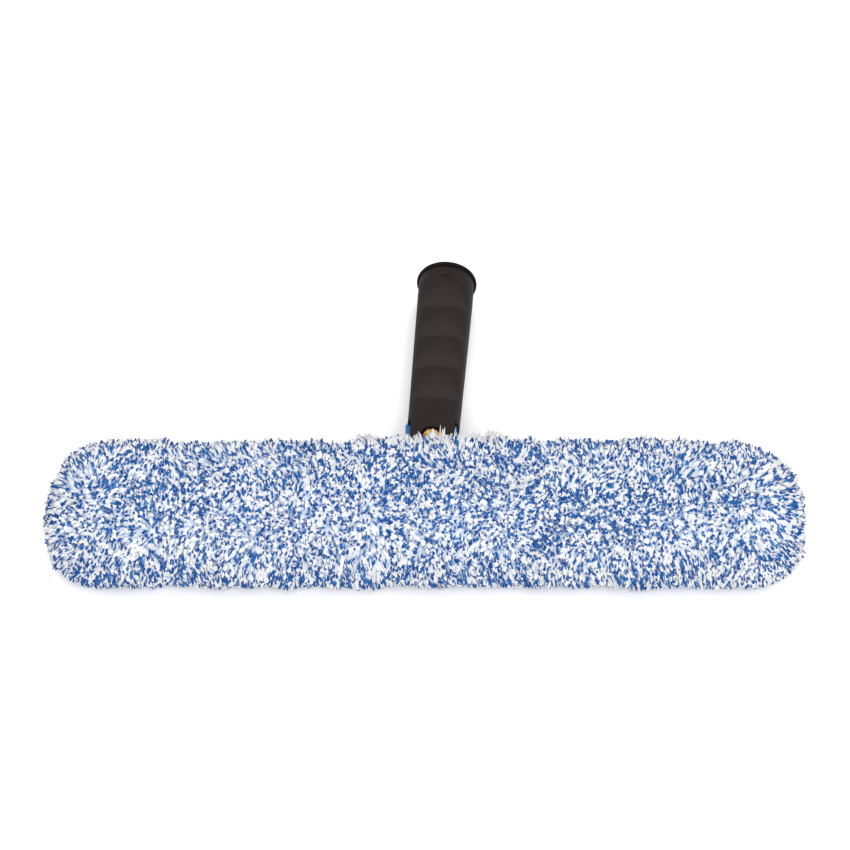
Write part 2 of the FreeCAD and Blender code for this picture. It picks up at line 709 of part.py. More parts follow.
def thrust_washer(label, side):
    """A plain washer between the tongue and one arm of the fork."""
    near = f"{side} * ({ARM_INSIDE} - washer_thickness)"
    far = f"{side} * {ARM_INSIDE}"
    rim = "washer_radius"
    body = turning(label, (PIVOT_HOLE, near), (rim, near), (rim, far), (PIVOT_HOLE, far))
    return node(body, label, HANDLE)


# Handle


def handle_core():
    """The rigid core: a flat-topped fork about the pivot, and a tube with the socket for a pole."""
    body = new_body("handle_core")
    section = rounded(new_sketch(body, "XZ_Plane", "-grip_start"), FORK_RADIUS, FORK_HALF, FORK_CORNER)
    pad(body, section, f"grip_start + {FORK_RADIUS}")
    socket_floor = f"({SLOT_RADIUS} + socket_from_slot)"
    outline = polygon(
        new_sketch(body, "XY_Plane"),
        ("0", "grip_start / 2"),
        (CORE_RADIUS, "grip_start / 2"),
        (CORE_RADIUS, CORE_END),
        ("socket_radius", CORE_END),
        ("socket_radius", socket_floor),
        ("0", socket_floor),
    )
    revolve(body, outline)
    slot_height = f"2 * {ARM_INSIDE}"
    pocket(body, circle(new_sketch(body, "XY_Plane"), "0", "0", SLOT_RADIUS), slot_height, both=True)
    wide = f"(2 * {FORK_RADIUS})"
    nose = polygon(
        new_sketch(body, "XY_Plane"),
        (f"-{FORK_RADIUS}", "0"),
        (FORK_RADIUS, "0"),
        (wide, "0"),
        (wide, f"-{wide}"),
        (f"-{wide}", f"-{wide}"),
        (f"-{wide}", "0"),
    )
    bow(nose, 0, "0", f"-{FORK_RADIUS}")
    pocket(body, nose, f"2 * {wide}", both=True)
    for side in SIDES:
        near, far = f"{side} * ({FORK_RADIUS} - arm_side_cut)", f"{side} * {wide}"
        flank = polygon(
            new_sketch(body, "XY_Plane"),
            (near, f"-{wide}"),
            (far, f"-{wide}"),
            (far, "arm_shoulder"),
            (near, "arm_shoulder"),
        )
        pocket(body, flank, f"2 * {wide}", both=True)
        recess = new_sketch(body, "XY_Plane", f"{side} * {ARM_SEAT}")
        circle(recess, "0", "0", f"{PIVOT_HEAD} + recess_gap")
        pocket(body, recess, FORK_RADIUS, up=side > 0)
    pocket(body, circle(new_sketch(body, "XY_Plane"), "0", "0", PIVOT_HOLE), wide, both=True)
    return node(body, "handle_core", HANDLE)


def rod(name, radius, length, placement):
    """A plain cylinder, to cut with."""
    made = doc.addObject("Part::Cylinder", name)
    return bind(made, Radius=radius, Height=length, Placement=placement)


def scallop(index, side):
    """A cutter for one scallop of the grip: a scoop, deep at its end by the pivot, that runs out to the collar."""
    start = f"({SCALLOP_START} + {index} * {SCALLOP_PITCH})"
    floor = f"({CORE_RADIUS} + grip_fit + scallop_wall)"
    end_skin = f"({FORK_HALF} + {FLAT_TAPER} * ({start} + {SCALLOP_PITCH} - grip_start))"
    climb = f"atan(({end_skin} + scallop_lift - {floor}) / {SCALLOP_PITCH})"
    middle = f"({floor} + scallop_radius / cos({climb}))"
    reach = f"(2 * {COLLAR_RADIUS})"
    blank = doc.addObject("Part::Box", "scallop_blank")
    bind(blank, Length=f"2 * {reach}", Width=SCALLOP_PITCH, Height=reach)
    low = "0" if side > 0 else f"-{reach}"
    bind(blank, Placement=upright(f"-{reach}", start, low))
    run_in = f"({SCALLOP_PITCH} / 2)"
    base = f"vector(0; {start} - {run_in} * cos({climb}); {side} * ({middle} - {run_in} * sin({climb})))"
    turn = f"rotation(vector(1; 0; 0); {side} * {climb} - 90 deg)"
    cutter = doc.addObject("Part::Common", "scallop_cutter")
    cutter.Base = blank
    cutter.Tool = rod("scallop_round", "scallop_radius", f"2 * {SCALLOP_PITCH}", f"placement({base}; {turn})")
    return cutter


def grip():
    """The soft grip over the core, with a row of scallops above and below and a dimple near the collar."""
    along = "rotation(vector(1; 0; 0); -90)"
    sleeve = new_body("grip_blank")
    low_end = rounded(new_sketch(sleeve, "XZ_Plane", "-grip_start"), FORK_RADIUS, FORK_HALF, FORK_CORNER)
    flat_end = rounded(new_sketch(sleeve, "XZ_Plane", f"-{FLAT_END}"), FLAT_RADIUS, FLAT_HALF, FLAT_CORNER)
    taper(sleeve, low_end, flat_end)
    rim_start = rounded(new_sketch(sleeve, "XZ_Plane", f"-{FLAT_END}"), FLAT_RADIUS, FLAT_HALF, FLAT_CORNER)
    rim_end = rounded(new_sketch(sleeve, "XZ_Plane", f"-{CORE_END}"), GRIP_HIGH_RADIUS, GRIP_HALF, GRIP_CORNER)
    taper(sleeve, rim_start, rim_end)
    bore_start = f"placement(vector(0; grip_start - {GRIP_LENGTH} / 2; 0); {along})"
    bore = rod("grip_bore", f"{CORE_RADIUS} + grip_fit", f"2 * {GRIP_LENGTH}", bore_start)
    seat_start = f"placement(vector(0; {CORE_END} - collar_skirt; 0); {along})"
    seat = rod("skirt_seat", f"{SKIRT_RADIUS} + grip_fit", "2 * collar_skirt", seat_start)
    dimple_floor = f"{FORK_HALF} + {FLAT_TAPER} * ({DIMPLE} - grip_start) - dimple_depth"
    dimple = rod("dimple_cut", "dimple_radius", f"2 * {COLLAR_RADIUS}", upright("0", DIMPLE, dimple_floor))
    cutters = doc.addObject("Part::MultiFuse", "grip_cutters")
    cutters.Shapes = [bore, seat, dimple] + [scallop(i, side) for i in range(SCALLOPS) for side in SIDES]
    made = doc.addObject("Part::Cut", "grip_cut")
    made.Base = sleeve
    made.Tool = cutters
    return node(made, "grip", HANDLE)


def end_collar():
    """The collar on the end of the handle: a flange round the socket's mouth, with a skirt under the grip."""
    body = new_body("end_collar")
    skirt_end = f"({CORE_END} - collar_skirt)"
    skirt_inside = f"({CORE_RADIUS} + grip_fit)"
    mouth = "(socket_radius + fit_gap)"
    outline = polygon(
        new_sketch(body, "XY_Plane"),
        (skirt_inside, skirt_end),
        (SKIRT_RADIUS, skirt_end),
        (SKIRT_RADIUS, CORE_END),
        (COLLAR_RADIUS, CORE_END),
        (COLLAR_RADIUS, "handle_length"),
        (mouth, "handle_length"),
        (mouth, CORE_END),
        (skirt_inside, CORE_END),
    )
    revolve(body, outline)
    rim = number(COLLAR_RADIUS)

    def on_rim(edge):
        return all(abs(Vector(p.x, 0, p.z).Length - rim) < CLOSE for p in edge.discretize(5))

    soften(body, "min(collar_round; 0.45 * collar_flange)", lambda e: on_rim(e) and not runs_along(e, Y_AXIS))
    return node(body, "end_collar", HANDLE)


# Assembly

bar_shell("bar_lower_shell", -1)
bar_shell("bar_upper_shell", 1)
swivel_hub()
screws("bar_screws", bar_screw_places(), f"({INSIDE_HALF} - screw_tip_gap)")
screws("hub_screws", hub_screw_places(), HUB_SCREW_TOP)
for name, direction in (("left", -1), ("right", 1)):
    end_cap(f"end_cap_{name}", direction)
    fastener_pad(f"hook_pad_{name}", direction, 0)
    fastener_pad(f"loop_pad_{name}", direction, 1)
    end_panel(f"end_panel_{name}", direction)
sleeve_backing()
neck_binding()
sleeve_pile()
pivot_barrel()
pivot_screw()
spring_washer()
thrust_washer("thrust_washer_front", 1)
thrust_washer("thrust_washer_rear", -1)
handle_core()
grip()
end_collar()
doc.recompute()

# Every object has to have worked before a file is written

for item in doc.Objects:
    if "Invalid" in item.State or "Error" in item.State:
        raise RuntimeError(f"{item.Name} failed: {item.State}")
for item in nodes:
    if item.Shape.isNull() or not item.Shape.isValid():
        raise RuntimeError(f"{item.Label} has no valid shape")
os.makedirs("parts", exist_ok=True)
for item in nodes:
    item.Shape.exportStep(f"parts/{item.Label}.step")
print(f"{len(nodes)} sub-parts written")
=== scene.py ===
"""Looks of the window scrubber: a fluffy microfibre sleeve on a moulded bar, with a handle that swivels.

Metres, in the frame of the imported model: +X along the sleeve, +Y the way the handle points, +Z up, and the
floor at zero. Sizes are written in millimetres, as in the part's source, and scaled by MM.
"""
import logging
import math
from dataclasses import dataclass
from enum import Enum
from typing import Any, Sequence

import bmesh
import bpy
from mathutils import Matrix, Vector

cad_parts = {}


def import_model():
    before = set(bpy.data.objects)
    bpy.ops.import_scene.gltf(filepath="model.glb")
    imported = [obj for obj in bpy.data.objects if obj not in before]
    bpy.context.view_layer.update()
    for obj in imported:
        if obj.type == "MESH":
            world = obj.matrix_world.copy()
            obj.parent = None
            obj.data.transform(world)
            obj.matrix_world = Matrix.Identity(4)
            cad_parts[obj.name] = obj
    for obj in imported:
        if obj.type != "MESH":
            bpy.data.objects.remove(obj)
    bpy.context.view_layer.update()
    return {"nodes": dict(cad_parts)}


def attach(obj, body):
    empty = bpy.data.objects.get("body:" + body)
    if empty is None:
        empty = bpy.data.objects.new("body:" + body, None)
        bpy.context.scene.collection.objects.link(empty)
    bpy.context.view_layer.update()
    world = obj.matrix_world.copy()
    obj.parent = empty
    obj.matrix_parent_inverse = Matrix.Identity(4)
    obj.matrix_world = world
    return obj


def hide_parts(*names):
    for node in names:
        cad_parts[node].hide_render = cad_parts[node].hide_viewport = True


LOG = logging.getLogger("window_scrubber")
MM = 0.001
PIVOT_MM = (3.1, 38.4338, 21.7424)
STRAND_MAP = "OFBake"  # UV map of the pile: root to tip along u, one row of shade for each strand along v
SHADE_ROWS = 64
WAVE_PERIOD = 0.314  # a wave texture of scale 1 repeats after about this length
NOISE_CORE = {"From Min": 0.3, "From Max": 0.7}  # nearly all of a noise texture lies between these
TO_ZERO = {"To Min": 1.0, "To Max": 0.0}  # for a share that falls from 1 to 0
HEAD = "head"  # the body that carries the sleeve

# Names of the node types that are used most
MATH = "ShaderNodeMath"
VECTOR = "ShaderNodeVectorMath"
RANGE = "ShaderNodeMapRange"
MIX = "ShaderNodeMix"
NOISE = "ShaderNodeTexNoise"
SPLIT = "ShaderNodeSeparateXYZ"
JOIN = "ShaderNodeCombineXYZ"
STORE = "GeometryNodeStoreNamedAttribute"
READ = "GeometryNodeInputNamedAttribute"

Node = bpy.types.Node
Socket = bpy.types.NodeSocket
Tree = bpy.types.NodeTree
Material = bpy.types.Material
Piece = bpy.types.Object
Section = list[tuple[float, float]]
Skin = tuple[list, list]
Colour = tuple[float, float, float, float]
Place = tuple[float, float, float]


class Slot(Enum):
    """The record's material slots of the sleeve's pieces."""

    HOOK_TAPE = "hook_tape"
    LOOP_TAPE = "loop_tape"
    BACKING_CLOTH = "backing_cloth"
    BINDING_TAPE = "binding_tape"
    MICROFIBRE_PILE = "microfibre_pile"


class Side(Enum):
    """The two ends of the sleeve."""

    LEFT = -1
    RIGHT = 1


# Nodes and materials


def linear(code: str) -> Colour:
    """Turns an sRGB hex code into a linear colour.

    Args:
        code: Six hex digits.

    Returns:
        Red, green, blue and an alpha of 1.
    """
    parts = []
    for start in (0, 2, 4):
        value = int(code[start:start + 2], 16) / 255
        parts.append(value / 12.92 if value <= 0.04045 else ((value + 0.055) / 1.055) ** 2.4)
    return parts[0], parts[1], parts[2], 1.0


def add(tree: Tree, kind: str, sockets: dict | Sequence = (), operation: str = "", **settings: Any) -> Node:
    """Adds one node with its settings, values and links.

    Args:
        tree: The tree that gets the node.
        kind: The node's type name.
        sockets: What goes into its inputs, by name or in order: a value, an output to link, or a node whose
            first output in use is linked.
        operation: What it works out, if its kind has a choice.
        settings: The node's own properties.

    Returns:
        The node.
    """
    made = tree.nodes.new(kind)
    if operation:
        made.operation = operation
    for name, value in settings.items():
        setattr(made, name, value)
    for key, value in sockets.items() if isinstance(sockets, dict) else enumerate(sockets):
        if isinstance(key, str):
            socket = next(s for s in made.inputs if s.name == key and s.enabled)
        else:
            socket = made.inputs[key]
        if isinstance(value, Node):
            value = next(s for s in value.outputs if s.enabled)
        if isinstance(value, Socket):
            tree.links.new(value, socket)
        else:
            socket.default_value = value
    return made


def blank(name: str) -> tuple[Material, Tree]:
    """Makes a material with an empty tree.

    Args:
        name: The material's name.

    Returns:
        The material and its tree.
    """
    material = bpy.data.materials.new(name)
    material.use_nodes = True
    material.node_tree.nodes.clear()
    return material, material.node_tree


def surfaced(material: Material, sockets: dict[str, Any]) -> Material:
    """Ends a material in one shader.

    Args:
        material: The material.
        sockets: Values and links of the shader's inputs.

    Returns:
        The same material.
    """
    shader = add(material.node_tree, "ShaderNodeBsdfPrincipled", sockets)
    add(material.node_tree, "ShaderNodeOutputMaterial", {"Surface": shader})
    return material


@dataclass(frozen=True)
class Moulding:
    """Moulded plastic or rubber: the spark-eroded tool leaves a fine grain and a faintly uneven sheen."""

    name: str
    colour: str
    drift: str
    roughness: float
    specular: float
    grain_mm: float  # drawn coarser than the real grain of about 0.1 mm, so that it shows
    grain_depth_mm: float
    drift_mm: float = 22.0
    gloss_spread: float = 0.06

    def tint(self, tree: Tree, place: Socket) -> Node:
        """Its colour at a place, which drifts slowly from one shade to the other.

        Args:
            tree: The material's tree.
            place: The place on the object.

        Returns:
            The node that gives the colour.
        """
        slow = add(tree, NOISE, {"Vector": place, "Scale": 1 / (self.drift_mm * MM), "Detail": 3.0})
        shades = {"Factor": slow, "A": linear(self.colour), "B": linear(self.drift)}
        return add(tree, MIX, shades, data_type="RGBA")

    def material(self) -> Material:
        """Makes the material from grain and slow drift in object space.

        Returns:
            The material.
        """
        material, tree = blank(self.name)
        place = add(tree, "ShaderNodeTexCoord").outputs["Object"]
        grain = add(tree, NOISE, {"Vector": place, "Scale": 1 / (self.grain_mm * MM), "Detail": 2.0})
        ends = {"To Min": self.roughness - self.gloss_spread, "To Max": self.roughness + self.gloss_spread}
        gloss = add(tree, RANGE, {"Value": grain, **NOISE_CORE, **ends})
        depth = {"Distance": self.grain_depth_mm * MM, "Strength": 1.0}
        shader = {
            "Base Color": self.tint(tree, place),
            "Roughness": gloss,
            "Specular IOR Level": self.specular,
            "Normal": add(tree, "ShaderNodeBump", {"Height": grain, **depth}),
        }
        return surfaced(material, shader)


@dataclass(frozen=True)
class ScallopedGrip(Moulding):
    """Soft rubber with scallops: a painted highlight arches over each one's deep end, and painted shade lines
    the sides.
    """

    origin_mm: Place = PIVOT_MM
    along: Place = (0.0697565, 0.9958476, -0.0584950)
    up: Place = (0.0, 0.0586378, 0.9982793)
    start_mm: float = 23.5
    pitch_mm: float = 20.2
    scallops: int = 4
    half_mm: float = 13.0
    arch: float = 1.05  # how far the painted highlight's arch reaches at the grip's middle, as a share of a scallop
    fade: tuple[float, float] = (0.35, 0.95)  # shares of the arch between which the painted highlight fades out
    painted_highlight_mm: tuple[float, float] = (7.0, 11.0)  # heights between which the painted highlight sets in
    painted_shade_mm: tuple[float, float] = (2.5, 5.5)  # heights between which the painted shade along the grip's sides ends
    # painted highlight: paler colour where the scallops' deep ends would catch the light
    painted_highlight: str = "332D2B"
    # painted shade: darker colour along the grip's sides, where its surface turns away from the light
    side: str = "100C0B"

    def tint(self, tree: Tree, place: Socket) -> Node:
        """Its colour: a painted highlight from the place in a scallop, and painted shade from the height
        above the middle.

        Args:
            tree: The material's tree.
            place: The place on the object.

        Returns:
            The node that gives the colour.
        """
        across = Vector(self.along).cross(Vector(self.up)) / (self.half_mm * MM)
        origin = [value * MM for value in self.origin_mm]
        inside = add(tree, VECTOR, (place, origin), "SUBTRACT")
        axes = (self.along, self.up, across)
        distance, height, offside = (add(tree, VECTOR, (inside, axis), "DOT_PRODUCT") for axis in axes)
        end_mm = self.start_mm + self.scallops * self.pitch_mm
        row = {"From Min": self.start_mm * MM, "From Max": end_mm * MM, "To Max": float(self.scallops)}
        share = add(tree, MATH, (add(tree, RANGE, {"Value": distance, **row}),), "FRACT")
        level = add(tree, MATH, (height,), "ABSOLUTE")
        squared = add(tree, MATH, (offside, 2.0), "POWER")
        arch = add(tree, MATH, (self.arch, squared), "SUBTRACT")
        raised = add(tree, MATH, (share, arch), "DIVIDE")
        faded = {"From Min": self.fade[0], "From Max": self.fade[1], **TO_ZERO}
        deep = add(tree, RANGE, {"Value": raised, **faded})
        faced, painted_shade_fade = (
            add(tree, RANGE, {"Value": level, "From Min": low * MM, "From Max": high * MM})
            for low, high in (self.painted_highlight_mm, self.painted_shade_mm)
        )
        in_row = add(tree, MATH, (share, 0.0), "GREATER_THAN")
        upper = add(tree, MATH, (faced, in_row), "MULTIPLY")
        # painted highlight over the deep end of each scallop
        painted_highlight_share = add(tree, MATH, (deep, upper), "MULTIPLY")
        shades = {"Factor": painted_highlight_share, "A": super().tint(tree, place), "B": linear(self.painted_highlight)}
        face = add(tree, MIX, shades, data_type="RGBA")
        # painted shade along the sides, where the height above the grip's middle is small
        return add(tree, MIX, {"Factor": painted_shade_fade, "A": linear(self.side), "B": face}, data_type="RGBA")


@dataclass(frozen=True)
class TurnedMetal:
    """Metal turned on a lathe: fine rings round the axis, and a slightly uneven tarnish."""

    name: str
    colour: str
    tarnish: str
    roughness: float
    centre_mm: Place
    ring_mm: float = 0.25  # drawn coarser than the real tool marks, so that they show
    ring_depth_mm: float = 0.02
    patch_mm: float = 2.5
    dulling: float = 0.15  # how much rougher the tarnish is

    def material(self) -> Material:
        """Makes the material from rings round the centre and a patchy tarnish.

        Returns:
            The material.
        """
        material, tree = blank(self.name)
        place = add(tree, "ShaderNodeTexCoord").outputs["Object"]
        to_centre = [-value * MM for value in self.centre_mm]
        centred = add(tree, "ShaderNodeMapping", {"Vector": place, "Location": to_centre})
        ringed = {"Vector": centred, "Scale": WAVE_PERIOD / (self.ring_mm * MM), "Distortion": 0.4}
        rings = add(tree, "ShaderNodeTexWave", ringed, wave_type="RINGS", rings_direction="Z")
        patches = add(tree, NOISE, {"Vector": place, "Scale": 1 / (self.patch_mm * MM), "Detail": 3.0})
        shades = {"Factor": patches, "A": linear(self.colour), "B": linear(self.tarnish)}
        ends = {"To Min": self.roughness, "To Max": self.roughness + self.dulling}
        depth = {"Distance": self.ring_depth_mm * MM, "Strength": 0.6}
        shader = {
            "Base Color": add(tree, MIX, shades, data_type="RGBA"),
            "Metallic": 1.0,
            "Roughness": add(tree, RANGE, {"Value": patches, **ends}),
            "Normal": add(tree, "ShaderNodeBump", {"Height": rings.outputs["Fac"], **depth}),
        }
        return surfaced(material, shader)


@dataclass(frozen=True)
class WovenCloth:
    """Plain-woven cloth or tape: warp and weft cross in small bumps, with a soft sheen."""

    name: str
    warp: str
    weft: str
    thread_mm: float  # drawn coarser than a real thread of about 0.3 mm, so that it shows
    sheen: float = 0.3
    bump_share: float = 0.3  # height of a crossing, as a share of a thread

    def material(self) -> Material:
        """Makes the material from two crossed waves as wide as a thread.

        Returns:
            The material.
        """
        material, tree = blank(self.name)
        place = add(tree, "ShaderNodeTexCoord").outputs["Object"]
        scale = {"Scale": WAVE_PERIOD / (self.thread_mm * MM)}
        across = add(tree, "ShaderNodeTexWave", {"Vector": place, **scale}, bands_direction="X")
        turned = add(tree, "ShaderNodeMapping", {"Vector": place, "Rotation": (math.radians(45), 0.0, 0.0)})
        along = add(tree, "ShaderNodeTexWave", {"Vector": turned, **scale}, bands_direction="Z")
        crossing = add(tree, MATH, (across.outputs["Fac"], along.outputs["Fac"]), "MULTIPLY")
        shades = {"Factor": crossing, "A": linear(self.warp), "B": linear(self.weft)}
        depth = {"Distance": self.bump_share * self.thread_mm * MM, "Strength": 0.8}
        shader = {
            "Base Color": add(tree, MIX, shades, data_type="RGBA"),
            "Roughness": 0.9,
            "Specular IOR Level": 0.2,
            "Sheen Weight": self.sheen,
            "Sheen Roughness": 0.5,
            "Normal": add(tree, "ShaderNodeBump", {"Height": crossing, **depth}),
        }
        return surfaced(material, shader)


@dataclass(frozen=True)
class PileYarn:
    """Cut microfibre yarn: soft, matt, uneven from strand to strand; its root is paler on the blue yarn, and
    bluer and darker on the white yarns as painted shade deep in the pile.
    """

    name: str
    # colour at the root; on the white yarns it is painted shade, bluer and darker deep in the pile
    root: str
    shades: tuple[str, ...]
    sheen: float
    turn: float  # where along the strand the root's colour gives way to its own
    blend: float = 0.2  # how far to each side of the turn the two mix

    def material(self) -> Material:
        """Makes the material from the strand map, which holds the way along a strand and its shade.

        Returns:
            The material.
        """
        material, tree = blank(self.name)
        strand = add(tree, SPLIT, {"Vector": add(tree, "ShaderNodeUVMap", uv_map=STRAND_MAP)}).outputs
        shade = add(tree, "ShaderNodeValToRGB", {"Fac": strand["Y"]})
        stops = shade.color_ramp.elements
        while len(stops) < len(self.shades):
            stops.new(0.5)
        for place, (stop, code) in enumerate(zip(stops, self.shades)):
            stop.position = place / (len(self.shades) - 1)
            stop.color = linear(code)
        ends = {"From Min": self.turn - self.blend, "From Max": self.turn + self.blend}
        depth = add(tree, RANGE, {"Value": strand["X"], **ends}, interpolation_type="SMOOTHSTEP")
        mixed = {"Factor": depth, "A": linear(self.root), "B": shade}
        shader = {
            "Base Color": add(tree, MIX, mixed, data_type="RGBA"),
            "Roughness": 0.85,
            "Specular IOR Level": 0.15,
            "Sheen Weight": self.sheen,
            "Sheen Roughness": 0.6,
        }
        return surfaced(material, shader)


BLUE_PLASTIC = Moulding(
    "moulded_blue_polypropylene", "3475B6", "3D7CBA",
    roughness=0.42, specular=0.4, grain_mm=0.5, grain_depth_mm=0.01,
)
BLACK_PLASTIC = Moulding(
    "moulded_black_nylon", "221C1B", "2F2927",
    roughness=0.65, specular=0.08, grain_mm=0.45, grain_depth_mm=0.02, drift_mm=1.3,
)
BLACK_COLLAR = Moulding(
    "moulded_black_collar_nylon", "14100F", "191514",
    roughness=0.6, specular=0.08, grain_mm=0.45, grain_depth_mm=0.02,
)
BLACK_GRIP = ScallopedGrip(
    "moulded_black_soft_rubber", "211B1A", "322B29",
    roughness=0.7, specular=0.08, grain_mm=0.55, grain_depth_mm=0.05, drift_mm=1.3,
)
WHITE_PLASTIC = Moulding(
    "moulded_white_acetal", "E8E8E2", "DEDED8",
    roughness=0.35, specular=0.4, grain_mm=0.5, grain_depth_mm=0.01,
)
BRASS = TurnedMetal("turned_brass", "E0B04C", "C48B33", roughness=0.22, centre_mm=PIVOT_MM)
STEEL = TurnedMetal("zinc_plated_steel", "B9BCC0", "9A9DA2", roughness=0.3, centre_mm=PIVOT_MM)
HOOK_TAPE = WovenCloth("black_hook_tape", "17171A", "26262A", thread_mm=1.6, sheen=0.1)
LOOP_TAPE = WovenCloth("white_loop_tape", "DDE0E4", "F1F2F4", thread_mm=1.2, sheen=0.6)
BACKING_CLOTH = WovenCloth("woven_polyester_backing", "D5DAE2", "EEF1F5", thread_mm=1.0)
BINDING_TAPE = WovenCloth("woven_blue_binding_tape", "274E94", "3B67AF", thread_mm=1.0)
KNITTED_GROUND = WovenCloth("knitted_pile_ground", "B9CDEC", "D3E0F3", thread_mm=1.4, sheen=0.6)
WHITE_SHADES = ("F2F6FA", "F6F8FB", "F8F9FB", "FAFBFC", "F7F7F6", "F3F7FC")
FLUFF_SHADES = ("F4F7FB", "FAFBFC", "F6F9FD")
BLUE_SHADES = ("0A4492", "0F53A2", "1762AE", "2A78BC", "0C4896")
# the white yarns' bluer, darker roots are painted shade deep in the pile
WHITE_YARN = PileYarn("white_microfibre_yarn", "D9E6F8", WHITE_SHADES, sheen=0.8, turn=0.35)
FLUFF_YARN = PileYarn("fine_white_microfibre", "E6EEF9", FLUFF_SHADES, sheen=0.8, turn=0.35)
BLUE_YARN = PileYarn("blue_microfibre_yarn", "E6EFFA", BLUE_SHADES, sheen=0.05, turn=0.46)


# Meshes


def piece(name: str, points: Sequence, faces: Sequence, material: Material) -> Piece:
    """Makes one mesh object at the origin with its normals outwards.

    Args:
        name: The piece's name.
        points: Its points in metres.
        faces: Its faces by point number.
        material: Its one material.

    Returns:
        The object, linked to the scene.
    """
    mesh = bpy.data.meshes.new(name)
    mesh.from_pydata(points, [], faces)
    work = bmesh.new()
    work.from_mesh(mesh)
    bmesh.ops.recalc_face_normals(work, faces=work.faces)
    work.to_mesh(mesh)
    work.free()
    mesh.shade_smooth()
    mesh.materials.append(material)
    made = bpy.data.objects.new(name, mesh)
    bpy.context.scene.collection.objects.link(made)
    return made


def baked(source: Piece, name: str) -> Piece:
    """Turns an object with modifiers into a plain mesh of its own and removes the source.

    Args:
        source: The object with modifiers.
        name: The new piece's name.

    Returns:
        The new object, linked to the scene.
    """
    graph = bpy.context.evaluated_depsgraph_get()
    mesh = bpy.data.meshes.new_from_object(source.evaluated_get(graph))
    bpy.data.objects.remove(source)
    mesh.name = name
    made = bpy.data.objects.new(name, mesh)
    bpy.context.scene.collection.objects.link(made)
    return made


def thickened(source: Piece, name: str, thickness: float) -> Piece:
    """Gives a sheet its thickness, half to each side.

    Args:
        source: The sheet without thickness.
        name: The new piece's name.
        thickness: The thickness in millimetres.

    Returns:
        The sheet as a plain mesh.
    """
    wall = source.modifiers.new("cloth", "SOLIDIFY")
    wall.thickness = thickness * MM
    wall.offset = 0.0
    wall.use_even_offset = True
    return baked(source, name)


def carry(made: Piece, slot: Slot, *nodes: str) -> None:
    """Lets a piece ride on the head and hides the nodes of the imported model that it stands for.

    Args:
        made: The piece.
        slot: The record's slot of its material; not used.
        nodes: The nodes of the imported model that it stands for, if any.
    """
    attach(made, HEAD)
    if nodes:
        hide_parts(*nodes)
    LOG.info("%s: %d faces on %s", made.name, len(made.data.polygons), HEAD)


def rounded_section(half: float, low: float, high: float, top_round: float, base_round: float) -> Section:
    """A rectangle with rounded corners, walked anticlockwise from its lower right.

    Args:
        half: Half of its width.
        low: Its lower edge.
        high: Its upper edge.
        top_round: The radius of its upper corners.
        base_round: The radius of its lower corners.

    Returns:
        The points, the same number for any size.
    """
    corner_steps = 8
    side_steps = 7  # points of each side between its corners
    corners = (
        (half - base_round, low + base_round, base_round, -90),
        (half - top_round, high - top_round, top_round, 0),
        (top_round - half, high - top_round, top_round, 90),
        (base_round - half, low + base_round, base_round, 180),
    )
    arcs = []
    for across, up, radius, start in corners:
        turns = [math.radians(start + 90 * step / corner_steps) for step in range(corner_steps + 1)]
        arcs.append([(across + radius * math.cos(turn), up + radius * math.sin(turn)) for turn in turns])
    section: Section = []
    for arc, following in zip(arcs, arcs[1:] + arcs[:1]):
        section.extend(arc)
        first, last = arc[-1], following[0]
        for step in range(1, side_steps + 1):
            share = step / (side_steps + 1)
            section.append((first[0] + share * (last[0] - first[0]), first[1] + share * (last[1] - first[1])))
    return section


def sorted_ring(points: Section, order: Section) -> Section:
    """Puts points of a ring back in the ring's order, by their angle round its middle.

    Args:
        points: The points to sort.
        order: The ring that gives the middle.

    Returns:
        The sorted points.
    """
    across = sum(p[0] for p in order) / len(order)
    up = sum(p[1] for p in order) / len(order)
    return sorted(points, key=lambda p: math.atan2(p[1] - up, p[0] - across))


def bands(rows: int, count: int) -> list[tuple[int, ...]]:
    """Faces between rings of points.

    Args:
        rows: How many rings there are.
        count: How many points each ring has.

    Returns:
        A four-sided face for each point of each ring but the last, which it has as its first corner.
    """
    faces = []
    for corner in range((rows - 1) * count):
        following = corner + 1 if (corner + 1) % count else corner + 1 - count
        faces.append((corner, following, following + count, corner + count))
    return faces


def loft(rings: Sequence[Sequence[Sequence[float]]]) -> Skin:
    """Joins rings of equal count into a closed skin.

    Args:
        rings: The rings from one end to the other.

    Returns:
        The points and the faces, with a face over each end.
    """
    count = len(rings[0])
    points = [point for ring in rings for point in ring]
    ends = [tuple(range(count)), tuple(range(len(points) - count, len(points)))]
    return points, bands(len(rings), count) + ends


# Pile


@dataclass(frozen=True)
class Neck:
    """The gap at the back of the sleeve where the handle's fork turns, in the tipped frame of the bar."""

    bar_shift: float = 3.1
    bar_height: float = 24.0
    drop_deg: float = 3.36163
    half_width: float = 22.0
    half_height: float = 13.4
    corner: float = 8.0

    def frame(self) -> Matrix:
        """The bar's frame, in metres."""
        place = Matrix.Translation((self.bar_shift * MM, 0.0, self.bar_height * MM))
        return place @ Matrix.Rotation(-math.radians(self.drop_deg), 4, "X")

    def at(self, x: float, y: float, z: float) -> Vector:
        """A place in the bar's frame, from millimetres to the model's metres."""
        return self.frame() @ Vector((x * MM, y * MM, z * MM))


